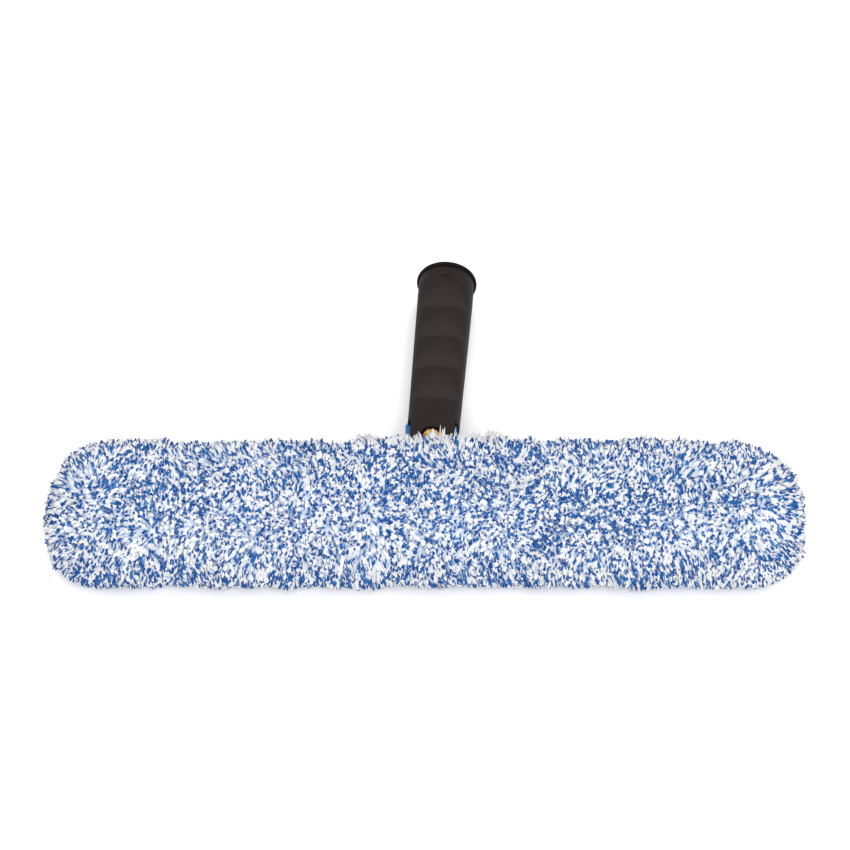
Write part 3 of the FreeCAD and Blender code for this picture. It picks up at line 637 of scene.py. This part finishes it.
class PileTree:
    """Geometry Nodes that plant strands of yarn on a root surface."""

    FLOATS = (
        "Density", "Length", "Width", "Droop", "Swirl", "Swirl Size", "Scatter", "Ruffle", "Press",
        "Patches", "Tufts",
    )
    BENDS = (0.2, 0.45, 0.7)  # how far the tip leans over, as a share of the length
    SINK = 0.45  # how far a tip sinks, as a share of how far it leans over
    STEPS = 4  # points along a strand
    SIDES = 3  # sides of its section
    TIP_LOSS = 0.55  # share of its width that a strand loses at the tip
    TIP_POWER = 6.0  # how late along the strand it loses that
    FLOOR_HOLD = {"From Min": 3.5 * MM, "From Max": 16 * MM}  # heights from lying flat to hanging freely
    LOWEST = 0.3 * MM
    FLATTEST = -0.15  # how far down a strand on the floor may point
    FLOOR_LOSS = 0.3  # share of its length that a strand on the floor loses
    NECK_BACK = {"From Min": 4.0, "From Max": 18.0}  # millimetres behind the bar where the neck sets in
    NECK_RIM = {"From Min": 1.02, "From Max": 1.75}  # shares of the neck's half sizes where its pull ends
    BARE_REACH = 1.03  # share of the neck's half sizes within which nothing grows
    BARE_BACK = 0.4  # how far the neck has set in where that begins
    PATCH_SIZE = 14 * MM
    TUFT_SIZE = 9 * MM
    WANDER = 4.0  # what spreads a noise texture to about 1 on each side of its middle
    LENGTHS = (0.78, 1.1)
    WIDTHS = (0.65, 1.35)
    SHADES = (0.0, 0.999)
    ROW_USE = 0.9  # how much of a shade's row in the strand map goes once round a strand
    ROW_EDGE = 0.2  # where in its row that begins
    SOFTNESS = 0.4  # how far a strand is shaded like the ground under it, as light scatters in the pile

    def __init__(self, neck: Neck) -> None:
        """Builds the tree, from what holds at a place to the finished strands.

        Args:
            neck: The gap in the sleeve where nothing grows.
        """
        tree = self.tree = bpy.data.node_groups.new("pile_strands", "GeometryNodeTree")
        self.identifiers: dict[str, str] = {}
        kinds = dict.fromkeys(self.FLOATS, "NodeSocketFloat")
        kinds.update({"Seed": "NodeSocketInt", "Yarn": "NodeSocketMaterial"})
        face = tree.interface
        face.new_socket("Geometry", in_out="INPUT", socket_type="NodeSocketGeometry")
        for name, kind in kinds.items():
            self.identifiers[name] = face.new_socket(name, in_out="INPUT", socket_type=kind).identifier
        face.new_socket("Geometry", in_out="OUTPUT", socket_type="NodeSocketGeometry")
        self.given = add(tree, "NodeGroupInput").outputs
        self.place = add(tree, "GeometryNodeInputPosition")
        self.spot = add(tree, SPLIT, {"Vector": self.place}).outputs
        self.pressed = add(tree, RANGE, {"Value": self.spot["Z"], **self.FLOOR_HOLD, **TO_ZERO})
        from_neck = add(tree, VECTOR, (self.place, neck.frame().translation), "SUBTRACT")
        tipped = {"Vector": from_neck, "Angle": math.radians(neck.drop_deg)}
        level = add(tree, "ShaderNodeVectorRotate", tipped, rotation_type="X_AXIS")
        half_sizes = (neck.half_width * MM, MM, neck.half_height * MM)
        self.share = add(tree, SPLIT, (add(tree, VECTOR, (level, half_sizes), "DIVIDE"),)).outputs
        aside, above = (add(tree, MATH, (self.share[axis],), "ABSOLUTE") for axis in "XZ")
        self.reach = add(tree, MATH, (aside, above), "MAXIMUM")
        self.behind = add(tree, RANGE, {"Value": self.share["Y"], **self.NECK_BACK})
        rim = add(tree, RANGE, {"Value": self.reach, **self.NECK_RIM, **TO_ZERO})
        self.beside = add(tree, MATH, (self.behind, rim), "MULTIPLY")
        self.finish(self.planted())

    def chance(self, least: Any, most: Any, offset: int, kind: str = "FLOAT") -> Node:
        """A random value for each strand, from the tree's seed and an offset of its own.

        Args:
            least: The lowest value.
            most: The highest value.
            offset: What is added to the seed.
            kind: The type of the value.

        Returns:
            The node that gives the value.
        """
        seed = add(self.tree, MATH, (self.given["Seed"], offset), "ADD")
        ends = {"Min": least, "Max": most, "Seed": seed}
        return add(self.tree, "FunctionNodeRandomValue", ends, data_type=kind)

    def uneven(self, size: float, amount: Any) -> Node:
        """A factor that wanders round 1 from place to place.

        Args:
            size: The size of its patches in metres.
            amount: How far it goes from 1.

        Returns:
            The node that gives the factor, never below 0.
        """
        noise = add(self.tree, NOISE, {"Vector": self.place, "Scale": 1 / size, "Detail": 2.0})
        centred = add(self.tree, MATH, (noise, 0.5), "SUBTRACT")
        wander = add(self.tree, MATH, (centred, self.WANDER), "MULTIPLY")
        factor = add(self.tree, MATH, (wander, amount, 1.0), "MULTIPLY_ADD")
        return add(self.tree, MATH, (factor, 0.0), "MAXIMUM")

    def strand(self, bend: float) -> Node:
        """One strand of length and width 1 that tapers and leans over along +X.

        Args:
            bend: How far its tip leans over.

        Returns:
            The node that gives the strand as an instance.
        """
        tree = self.tree
        line = add(tree, "GeometryNodeCurvePrimitiveLine", {"Start": (0.0, 0.0, 0.0), "End": (0.0, 0.0, 1.0)})
        steps = add(tree, "GeometryNodeResampleCurve", {"Curve": line, "Count": self.STEPS})
        along = add(tree, "GeometryNodeSplineParameter").outputs["Factor"]
        squared = add(tree, MATH, (along, 2.0), "POWER")
        over = add(tree, MATH, (squared, bend), "MULTIPLY")
        down = add(tree, MATH, (squared, -self.SINK * bend), "MULTIPLY")
        lean = add(tree, JOIN, (over, 0.0, down))
        bent = add(tree, "GeometryNodeSetPosition", {"Geometry": steps, "Offset": lean})
        marked = add(tree, STORE, {"Geometry": bent, "Name": "along", "Value": along}, domain="POINT")
        ring = add(tree, "GeometryNodeCurvePrimitiveCircle", {"Resolution": self.SIDES, "Radius": 0.5})
        turn = add(tree, MATH, (add(tree, "GeometryNodeInputIndex"), float(self.SIDES)), "DIVIDE")
        rim = add(tree, STORE, {"Geometry": ring, "Name": "around", "Value": turn}, domain="POINT")
        late = add(tree, MATH, (along, self.TIP_POWER), "POWER")
        taper = add(tree, MATH, (late, -self.TIP_LOSS, 1.0), "MULTIPLY_ADD")
        swept = {"Curve": marked, "Profile Curve": rim, "Scale": taper, "Fill Caps": True}
        skin = add(tree, "GeometryNodeCurveToMesh", swept)
        return add(tree, "GeometryNodeGeometryToInstance", {"Geometry": skin})

    def planted(self) -> Node:
        """The strands in their places as one mesh, with none of it below the floor.

        Returns:
            The node that gives the mesh.
        """
        tree, given = self.tree, self.given
        thickness = self.uneven(self.PATCH_SIZE, given["Patches"])
        density = add(tree, MATH, (given["Density"], thickness), "MULTIPLY")
        sown = {"Mesh": given["Geometry"], "Density": density, "Seed": given["Seed"]}
        roots = add(tree, "GeometryNodeDistributePointsOnFaces", sown).outputs
        within = add(tree, MATH, (self.reach, self.BARE_REACH), "LESS_THAN")
        at_back = add(tree, MATH, (self.behind, self.BARE_BACK), "GREATER_THAN")
        bare = {"Geometry": roots["Points"], "Selection": add(tree, MATH, (within, at_back), "MULTIPLY")}
        kinds = add(tree, "GeometryNodeJoinGeometry")
        for bend in self.BENDS:
            tree.links.new(self.strand(bend).outputs[0], kinds.inputs["Geometry"])
        standing = {
            "Points": add(tree, "GeometryNodeDeleteGeometry", bare, domain="POINT"),
            "Instance": kinds,
            "Pick Instance": True,
            "Instance Index": self.chance(0, len(self.BENDS) - 1, 4, "INT"),
            "Rotation": self.turned(roots["Normal"]),
            "Scale": self.sized(),
        }
        strands = add(tree, "GeometryNodeInstanceOnPoints", standing)
        shade = {"Geometry": strands, "Name": "shade", "Value": self.chance(*self.SHADES, 5)}
        shaded = add(tree, STORE, shade, domain="INSTANCE")
        ground = {"Geometry": shaded, "Name": "ground", "Value": roots["Normal"]}
        grounded = add(tree, STORE, ground, data_type="FLOAT_VECTOR", domain="INSTANCE")
        real = add(tree, "GeometryNodeRealizeInstances", {"Geometry": grounded})
        lifted = add(tree, MATH, (self.spot["Z"], self.LOWEST), "MAXIMUM")
        laid = add(tree, JOIN, (self.spot["X"], self.spot["Y"], lifted))
        return add(tree, "GeometryNodeSetPosition", {"Geometry": real, "Position": laid})

    def turned(self, normal: Socket) -> Node:
        """Which way a strand points and curls: swirled, drooping, off the neck, and flat on the floor.

        Args:
            normal: The way out of the ground.

        Returns:
            The node that gives the strand's rotation.
        """
        tree, given, share, pressed = self.tree, self.given, self.share, self.pressed
        per_metre = add(tree, MATH, (1.0, given["Swirl Size"]), "DIVIDE")
        noise = add(tree, NOISE, {"Vector": self.place, "Scale": per_metre, "Detail": 1.0})
        centred = add(tree, VECTOR, (noise.outputs["Color"], (0.5, 0.5, 0.5)), "SUBTRACT")
        swirl = add(tree, VECTOR, {"Vector": centred, "Scale": given["Swirl"]}, "SCALE")
        combing = add(tree, MATH, (pressed, given["Press"], 1.0), "MULTIPLY_ADD")
        thrown = self.chance((-1.0, -1.0, -1.0), (1.0, 1.0, 1.0), 1, "FLOAT_VECTOR")
        stray = add(tree, VECTOR, {"Vector": thrown, "Scale": given["Scatter"]}, "SCALE")
        loose = add(tree, VECTOR, (swirl, combing, stray), "MULTIPLY_ADD")
        hang = add(tree, JOIN, {"Z": add(tree, MATH, (given["Droop"], -1.0), "MULTIPLY")})
        lean = add(tree, VECTOR, (loose, hang), "ADD")
        outward = add(tree, VECTOR, (add(tree, JOIN, (share["X"], 0.0, share["Z"])),), "NORMALIZE")
        drawn = add(tree, VECTOR, (outward, self.beside, lean), "MULTIPLY_ADD")
        whole = add(tree, VECTOR, (normal, drawn), "ADD")
        aim = add(tree, SPLIT, (add(tree, VECTOR, (whole,), "NORMALIZE"),)).outputs
        free = add(tree, MATH, (1.0, pressed), "SUBTRACT")
        lowest = add(tree, MATH, (self.FLATTEST, free), "SUBTRACT")
        raised = add(tree, MATH, (aim["Z"], lowest), "MAXIMUM")
        limited = add(tree, JOIN, (aim["X"], aim["Y"], raised))
        pull = add(tree, SPLIT, (add(tree, VECTOR, (lean, stray), "ADD"),)).outputs
        sag = add(tree, MATH, (pull["Z"], free), "MULTIPLY")
        upright = add(tree, "FunctionNodeAlignRotationToVector", {"Vector": limited}, axis="Z")
        curl = {"Rotation": upright, "Vector": add(tree, JOIN, (pull["X"], pull["Y"], sag))}
        return add(tree, "FunctionNodeAlignRotationToVector", curl, axis="X", pivot_axis="Z")

    def sized(self) -> Node:
        """How wide and long a strand is: uneven in tufts, longer above the neck and shorter on the floor.

        Returns:
            The node that gives its width, its width again and its length.
        """
        tree, given = self.tree, self.given
        above = add(tree, MATH, (self.share["Z"], 0.0), "GREATER_THAN")
        over_neck = add(tree, MATH, (self.beside, above), "MULTIPLY")
        longer = add(tree, MATH, (over_neck, given["Ruffle"], 1.0), "MULTIPLY_ADD")
        fitted = add(tree, MATH, (self.pressed, -self.FLOOR_LOSS, longer), "MULTIPLY_ADD")
        tufts = self.uneven(self.TUFT_SIZE, given["Tufts"])
        length = given["Length"]
        for factor in (tufts, self.chance(*self.LENGTHS, 2), fitted):
            length = add(tree, MATH, (length, factor), "MULTIPLY")
        width = add(tree, MATH, (given["Width"], self.chance(*self.WIDTHS, 3)), "MULTIPLY")
        return add(tree, JOIN, (width, width, length))

    def finish(self, strands: Node) -> None:
        """Gives the strands their map, their soft shading and their material.

        Args:
            strands: The node that gives them as one mesh.
        """
        tree = self.tree
        read = {name: add(tree, READ, {"Name": name}) for name in ("along", "around", "shade")}
        ground = add(tree, READ, {"Name": "ground"}, data_type="FLOAT_VECTOR")
        normal = add(tree, "GeometryNodeInputNormal")
        own = add(tree, VECTOR, {"Vector": normal, "Scale": 1.0 - self.SOFTNESS}, "SCALE")
        both = add(tree, VECTOR, (ground, (self.SOFTNESS, self.SOFTNESS, self.SOFTNESS), own), "MULTIPLY_ADD")
        rows = add(tree, MATH, (read["shade"], float(SHADE_ROWS)), "MULTIPLY")
        row = add(tree, MATH, (rows,), "FLOOR")
        within = add(tree, MATH, (read["around"], self.ROW_USE, self.ROW_EDGE), "MULTIPLY_ADD")
        across = add(tree, MATH, (add(tree, MATH, (row, within), "ADD"), float(SHADE_ROWS)), "DIVIDE")
        spread = {"Geometry": strands, "Name": STRAND_MAP, "Value": add(tree, JOIN, (read["along"], across))}
        mapped = add(tree, STORE, spread, data_type="FLOAT2", domain="CORNER")
        smooth = add(tree, "GeometryNodeSetShadeSmooth", {"Geometry": mapped})
        soft = {"Mesh": smooth, "Custom Normal": add(tree, VECTOR, (both,), "NORMALIZE")}
        current = add(tree, "GeometryNodeSetMeshNormal", soft, mode="FREE", domain="POINT")
        for name in (*read, "ground"):
            current = add(tree, "GeometryNodeRemoveAttribute", {"Geometry": current, "Name": name})
        dressed = add(tree, "GeometryNodeSetMaterial", {"Geometry": current, "Material": self.given["Yarn"]})
        add(tree, "NodeGroupOutput", {"Geometry": dressed})

    def grow(self, name: str, root: bpy.types.Mesh, values: dict[str, Any]) -> Piece:
        """Plants one kind of yarn.

        Args:
            name: The new piece's name.
            root: The surface that the strands grow from.
            values: The tree's inputs.

        Returns:
            The strands as a plain mesh.
        """
        source = bpy.data.objects.new(f"{name}_source", root)
        bpy.context.scene.collection.objects.link(source)
        planter = source.modifiers.new("strands", "NODES")
        planter.node_group = self.tree
        for key, value in values.items():
            planter[self.identifiers[key]] = value
        return baked(source, name)


@dataclass(frozen=True)
class Planting:
    """How one kind of yarn stands in the pile: strands for each square metre, and sizes in millimetres."""

    IN_MM = ("Length", "Width", "Swirl Size")

    name: str
    yarn: PileYarn
    density: float
    length: float
    width: float
    seed: int
    patches: float = 0.0
    ruffle: float = 0.9
    droop: float = 0.45
    swirl: float = 2.4
    swirl_size: float = 26.0
    scatter: float = 0.35
    press: float = 1.0
    tufts: float = 0.35

    def grown(self, tree: PileTree, root: bpy.types.Mesh) -> Piece:
        """Plants the yarn.

        Args:
            tree: The tree that plants it.
            root: The surface that it grows from.

        Returns:
            The strands as a plain mesh.
        """
        values = {name: getattr(self, name.lower().replace(" ", "_")) for name in tree.FLOATS}
        for name in self.IN_MM:
            values[name] *= MM
        values.update({"Seed": self.seed, "Yarn": self.yarn.material()})
        return tree.grow(self.name, root, values)


PLANTINGS = (
    Planting("pile_white", WHITE_YARN, density=300000.0, length=5.4, width=2.1, seed=11),
    Planting("pile_fluff", FLUFF_YARN, density=160000.0, length=6.0, width=0.75, seed=83),
    Planting(
        "pile_blue", BLUE_YARN, density=600000.0, length=5.35, width=1.5, seed=47, patches=0.7, ruffle=0.3
    ),
)


# Sub-assemblies


@dataclass
class Sleeve:
    """The fluffy sleeve: a woven tube with bound neck, and the pile that grows on it."""

    neck: Neck
    half_length: float = 178.0
    half_depth: float = 35.0
    height: float = 50.5
    front_round: float = 25.0
    back_round: float = 33.0
    top_round: float = 25.0
    base_round: float = 16.5
    root_depth: float = 4.2
    ground_fill: float = 0.7
    yarn_fill: float = 0.3
    backing_half_length: float = 164.6
    backing_half_width: float = 21.6
    backing_low: float = -11.6
    backing_high: float = 13.4
    backing_corner: float = 9.6
    backing_stations: int = 14  # rings of the tube in each half
    cloth: float = 1.4
    wall_near: float = 0.001  # points of the tube this near its back wall lie on it
    cutter_gap: float = 0.1
    cutter_over: float = 1.5
    slot_half_width: float = 15.5
    slot_half_height: float = 6.5
    slot_corner: float = 1.2
    slot_clear: float = 0.5  # points of the tube this near the slot give way to its corners
    slot_apart: float = 2.0  # rings of the tube this near the slot give way to its sides
    tape: float = 0.45
    tape_leg: float = 4.2
    tape_swell: float = 0.85
    tape_gap: float = 0.3
    pad_near: float = 107.0
    pad_far: float = 147.0
    pad_half_width: float = 10.0
    pad_corner: float = 2.0
    pad: float = 1.2
    pad_gap: float = 0.05
    bar_top: float = 11.0

    def build(self) -> None:
        """Makes every soft piece of the sleeve."""
        self.pile()
        self.backing()
        self.binding()
        for side in Side:
            self.end_panel(side)
            self.fastener(side)

    def block(self, inset: float) -> Skin:
        """The rounded form of the pile, drawn in from its outside.

        Args:
            inset: How far inside the outer form it lies, in millimetres.

        Returns:
            Its points in metres and its faces.
        """
        curve_steps = 8
        wall_steps = 3
        base, top = self.base_round - inset, self.top_round - inset
        low, high = inset, self.height - inset
        turns = [math.radians(90 * step / curve_steps) for step in range(curve_steps + 1)]
        levels = [(low + base * (1 - math.cos(turn)), base * (1 - math.sin(turn))) for turn in turns]
        wall = high - top - low - base
        levels += [(low + base + wall * step / wall_steps, 0.0) for step in range(1, wall_steps)]
        levels += [(high - top + top * math.sin(turn), top * (1 - math.cos(turn))) for turn in turns]
        rings = []
        for z, drawn in levels:
            total = inset + drawn
            depth = self.half_depth - total
            front, back = self.front_round - total, self.back_round - total
            outline = rounded_section(self.half_length - total, -depth, depth, back, front)
            rings.append([(x * MM, y * MM, z * MM) for x, y in outline])
        return loft(rings)

    def girdle(self, growth: float) -> Section:
        """The section of the backing, grown all round.

        Args:
            growth: How far outside the tube's inside it lies, in millimetres.

        Returns:
            Its points across and up in the bar's frame.
        """
        across = self.backing_half_width + growth
        corner = self.backing_corner + growth
        return rounded_section(across, self.backing_low - growth, self.backing_high + growth, corner, corner)

    def tube_block(self) -> Skin:
        """What the backing takes out of the ground of the pile.

        Returns:
            Its points in metres and its faces.
        """
        half_length = self.backing_half_length + self.cutter_over
        section = self.girdle(self.cloth + self.cutter_gap)
        return loft([[self.neck.at(x, y, z) for y, z in section] for x in (-half_length, half_length)])

    def neck_block(self) -> Skin:
        """What the neck takes out of the ground of the pile.

        Returns:
            Its points in metres and its faces.
        """
        neck = self.neck
        tall = neck.half_height
        section = rounded_section(neck.half_width, -tall, tall, neck.corner, neck.corner)
        return loft([[neck.at(x, back, z) for x, z in section] for back in (0.0, 2 * self.half_depth)])

    def pile(self) -> None:
        """Makes the ground of the pile and the yarn on it: chunky white, fine white fluff, and blue."""
        form = piece("pile_form", *self.block(self.root_depth), KNITTED_GROUND.material())
        tree = PileTree(self.neck)
        strands = [planting.grown(tree, form.data) for planting in PLANTINGS]
        ground = self.ground(form)
        carry(ground, Slot.MICROFIBRE_PILE, "sleeve_pile")
        for yarn in strands:
            carry(yarn, Slot.MICROFIBRE_PILE)

    def ground(self, form: Piece) -> Piece:
        """Cuts the neck and the backing out of the form that carries the yarn.

        Args:
            form: The whole form.

        Returns:
            The cut form as a plain mesh.
        """
        blocks = {"neck_cutter": self.neck_block(), "backing_cutter": self.tube_block()}
        cutters = [piece(name, *block, form.data.materials[0]) for name, block in blocks.items()]
        for cutter in cutters:
            cut = form.modifiers.new(cutter.name, "BOOLEAN")
            cut.operation = "DIFFERENCE"
            cut.solver = "EXACT"
            cut.object = cutter
        made = baked(form, "pile_ground")
        for cutter in cutters:
            bpy.data.objects.remove(cutter)
        return made

    def backing(self) -> None:
        """The woven tube, with the slot at the back that the tongue comes out of."""
        whole = self.girdle(self.cloth / 2)
        wall = self.backing_half_width + self.cloth / 2
        tall = self.slot_half_height
        at_slot = [(wall, -tall), (wall, tall)]
        kept = [p for p in whole if p[0] <= wall - self.wall_near or abs(p[1]) >= tall + self.slot_clear]
        section = sorted_ring(kept + at_slot, whole)
        steps = self.backing_stations
        outer = [self.backing_half_length * step / steps for step in range(steps, 0, -1)]
        clear = [x for x in outer if x > self.slot_half_width + self.slot_apart]
        stations = [-x for x in clear] + [-self.slot_half_width, 0.0, self.slot_half_width] + clear[::-1]
        points = [self.neck.at(x, y, z) for x in stations for y, z in section]
        count = len(section)
        first = section.index(at_slot[0])
        in_slot = [row for row, x in enumerate(stations) if -self.slot_half_width <= x < self.slot_half_width]
        opened = [row * count + first for row in in_slot]
        faces = [face for face in bands(len(stations), count) if face[0] not in opened]
        source = piece("backing_source", points, faces, BACKING_CLOTH.material())
        made = thickened(source, "backing_tube", self.cloth)
        carry(made, Slot.BACKING_CLOTH, "sleeve_backing")

    def binding(self) -> None:
        """The tape folded over the edge of the slot, from its outer leg round the edge to its inner leg."""
        face = self.backing_half_width + self.cloth
        inside = self.backing_half_width - self.tape_gap
        leg, swell = self.tape_leg, self.tape_swell
        folds = (
            (leg, face + 0.4 * swell),
            (0.7 * leg, face + 0.9 * swell),
            (0.3 * leg, face + swell),
            (0.0, face + 0.5 * swell),
            (-self.tape_gap, (face + inside) / 2),
            (0.0, inside),
            (0.3 * leg, inside),
            (leg, inside),
        )
        rings = []
        for growth, depth in folds:
            corner = self.slot_corner + growth
            tall = self.slot_half_height + growth
            section = rounded_section(self.slot_half_width + growth, -tall, tall, corner, corner)
            rings.append([self.neck.at(x, depth, z) for x, z in section])
        points, faces = loft(rings)
        source = piece("binding_source", points, faces[:-2], BINDING_TAPE.material())
        made = thickened(source, "neck_tape", self.tape)
        carry(made, Slot.BINDING_TAPE, "neck_binding")

    def end_panel(self, side: Side) -> None:
        """The cloth that closes one end of the tube.

        Args:
            side: The end.
        """
        end = side.name.lower()
        section = self.girdle(self.cloth)
        count = len(section)
        low, high = self.backing_low - self.cloth, self.backing_high + self.cloth
        centre = (low + high) / 2
        along = side.value * (self.backing_half_length + self.cloth / 2)
        shares = (1.0, 0.75, 0.5, 0.25)
        points = [self.neck.at(along, s * y, centre + s * (z - centre)) for s in shares for y, z in section]
        points.append(self.neck.at(along, 0.0, centre))
        tip = len(points) - 1
        faces = bands(len(shares), count)
        faces += [(tip - count + column, tip - count + (column + 1) % count, tip) for column in range(count)]
        source = piece(f"end_{end}_source", points, faces, BACKING_CLOTH.material())
        made = thickened(source, f"end_cloth_{end}", self.cloth)
        carry(made, Slot.BACKING_CLOTH, f"end_panel_{end}")

    def fastener(self, side: Side) -> None:
        """The hook and loop tapes that hold one end of the sleeve on the bar.

        Args:
            side: The end.
        """
        end = side.name.lower()
        layers = (
            ("hook", HOOK_TAPE, Slot.HOOK_TAPE, "bar_upper_shell"),
            ("loop", LOOP_TAPE, Slot.LOOP_TAPE, "backing_tube"),
        )
        length = self.pad_far - self.pad_near
        middle = side.value * (self.pad_near + self.pad_far) / 2
        wide, corner = self.pad_half_width, self.pad_corner
        section = rounded_section(length / 2, -wide, wide, corner, corner)
        for layer, (kind, finish, slot, rest) in enumerate(layers):
            height = self.bar_top + (layer + 0.5) * self.pad
            points = [self.neck.at(middle + x, y, height) for x, y in section]
            name = f"{kind}_tape_{end}"
            source = piece(f"{name}_source", points, [tuple(range(len(points)))], finish.material())
            made = thickened(source, name, self.pad - self.pad_gap)
            carry(made, slot, f"{kind}_pad_{end}")


@dataclass
class SubAssembly:
    """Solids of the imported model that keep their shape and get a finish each."""

    nodes: dict[str, Piece]

    def dress(self, finish: Moulding | TurnedMetal, *names: str) -> None:
        """Gives some of the solids one finish.

        Args:
            finish: The finish.
            names: The solids' nodes.
        """
        material = finish.material()
        for name in names:
            mesh = self.nodes[name].data
            mesh.materials.clear()
            mesh.materials.append(material)
            LOG.info("%s: %s", name, finish.name)


@dataclass
class Bar(SubAssembly):
    """The moulded bar inside the sleeve: two shells, the hub with its tongue, the end caps and the screws."""

    moulded: tuple[str, ...] = (
        "bar_lower_shell", "bar_upper_shell", "swivel_hub", "end_cap_left", "end_cap_right"
    )
    screws: tuple[str, ...] = ("bar_screws", "hub_screws")

    def build(self) -> None:
        """Dresses the bar."""
        self.dress(BLUE_PLASTIC, *self.moulded)
        self.dress(STEEL, *self.screws)


@dataclass
class Swivel(SubAssembly):
    """The pivot between the tongue and the fork: barrel, screw, spring washer and thrust washers."""

    turned: tuple[str, ...] = ("pivot_barrel", "pivot_screw")
    thrust: tuple[str, ...] = ("thrust_washer_front", "thrust_washer_rear")

    def build(self) -> None:
        """Dresses the pivot."""
        self.dress(BRASS, *self.turned)
        self.dress(STEEL, "spring_washer")
        self.dress(WHITE_PLASTIC, *self.thrust)


@dataclass
class Handle(SubAssembly):
    """The handle: a hollow core with the fork, the scalloped grip over it and the collar at its end."""

    def build(self) -> None:
        """Dresses the handle."""
        self.dress(BLACK_PLASTIC, "handle_core")
        self.dress(BLACK_GRIP, "grip")
        self.dress(BLACK_COLLAR, "end_collar")


# Studio


@dataclass(frozen=True)
class Lamp:
    """A square lamp that faces the sleeve: its place and size in metres, and its power in watts."""

    name: str
    place: Place
    watts: float
    size: float
    target: Place = (0.0, 0.0, 0.02)

    def build(self) -> None:
        """Hangs the lamp."""
        data = bpy.data.lights.new(self.name, "AREA")
        data.energy = self.watts
        data.size = self.size
        lamp = bpy.data.objects.new(self.name, data)
        lamp.location = self.place
        lamp.rotation_euler = (Vector(self.target) - Vector(self.place)).to_track_quat("-Z", "Y").to_euler()
        bpy.context.scene.collection.objects.link(lamp)


@dataclass
class Studio:
    """A pale floor, soft light from above and all round, and the camera."""

    target: Place = (0.0, 0.0306, 0.0511)
    elevation_deg: float = 51.25
    distance: float = 1.4
    focal_px: float = 2980.0
    photo_px: float = 850.0
    floor_half: float = 4.0
    floor_lighting: float = 0.95  # how bright the floor is to the object, and then to the camera
    floor_seen: float = 1.25
    sky_lighting: float = 0.8  # the same for the surround
    sky_seen: float = 1.0
    lamps: tuple[Lamp, ...] = (
        Lamp("overhead", (-0.2, 0.25, 1.65), watts=3.5, size=1.2),
        Lamp("front", (0.2, -1.05, 1.4), watts=13.2, size=0.8),
    )

    def build(self) -> None:
        """Makes the stage, with a broad faint lamp overhead and a stronger one from the camera's side."""
        bpy.context.scene.view_settings.view_transform = "Standard"
        self.floor()
        self.world()
        for lamp in self.lamps:
            lamp.build()
        self.camera()

    def seen(self, tree: Tree, lighting: float, seen: float) -> Node:
        """One value where a surface only lights others, and one where it is seen, straight on or mirrored.

        Args:
            tree: The tree of the floor or the surround.
            lighting: The value for what it lights.
            seen: The value for the camera.

        Returns:
            The node that gives the value.
        """
        path = add(tree, "ShaderNodeLightPath").outputs
        mirrored = add(tree, MATH, (path["Is Glossy Ray"], path["Is Transmission Ray"]), "MAXIMUM")
        either = add(tree, MATH, (path["Is Camera Ray"], mirrored), "MAXIMUM")
        return add(tree, RANGE, {"Value": either, "To Min": lighting, "To Max": seen})

    def floor(self) -> None:
        """A white floor that keeps the shadow of the scrubber."""
        material, tree = blank("studio_floor")
        tone = self.seen(tree, self.floor_lighting, self.floor_seen)
        matt = add(tree, "ShaderNodeBsdfDiffuse", {"Color": tone})
        add(tree, "ShaderNodeOutputMaterial", {"Surface": matt})
        half = self.floor_half
        corners = [(-half, -half, 0.0), (half, -half, 0.0), (half, half, 0.0), (-half, half, 0.0)]
        piece("floor", corners, [(0, 1, 2, 3)], material)

    def world(self) -> None:
        """A soft white surround: plain light on the object, and white where the camera sees it."""
        world = bpy.data.worlds.new("studio_surround")
        bpy.context.scene.world = world
        world.use_nodes = True
        tree = world.node_tree
        tree.nodes.clear()
        strength = self.seen(tree, self.sky_lighting, self.sky_seen)
        sky = add(tree, "ShaderNodeBackground", {"Color": (1.0, 1.0, 1.0, 1.0), "Strength": strength})
        add(tree, "ShaderNodeOutputWorld", {"Surface": sky})

    def camera(self) -> None:
        """The camera at the viewing angle, with its lens from the focal length in pixels."""
        rise = math.radians(self.elevation_deg)
        forward = Vector((0.0, math.cos(rise), -math.sin(rise)))
        data = bpy.data.cameras.new("camera")
        data.lens = data.sensor_width * self.focal_px / self.photo_px
        camera = bpy.data.objects.new("camera", data)
        camera.location = Vector(self.target) - self.distance * forward
        camera.rotation_euler = forward.to_track_quat("-Z", "Y").to_euler()
        bpy.context.scene.collection.objects.link(camera)
        bpy.context.scene.camera = camera


def main() -> None:
    """Builds the studio and the scrubber."""
    logging.basicConfig(level=logging.INFO, format="%(message)s")
    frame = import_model()
    Studio().build()
    Sleeve(Neck()).build()
    for part in (Bar, Swivel, Handle):
        part(frame["nodes"]).build()


if __name__ == "__main__":
    main()
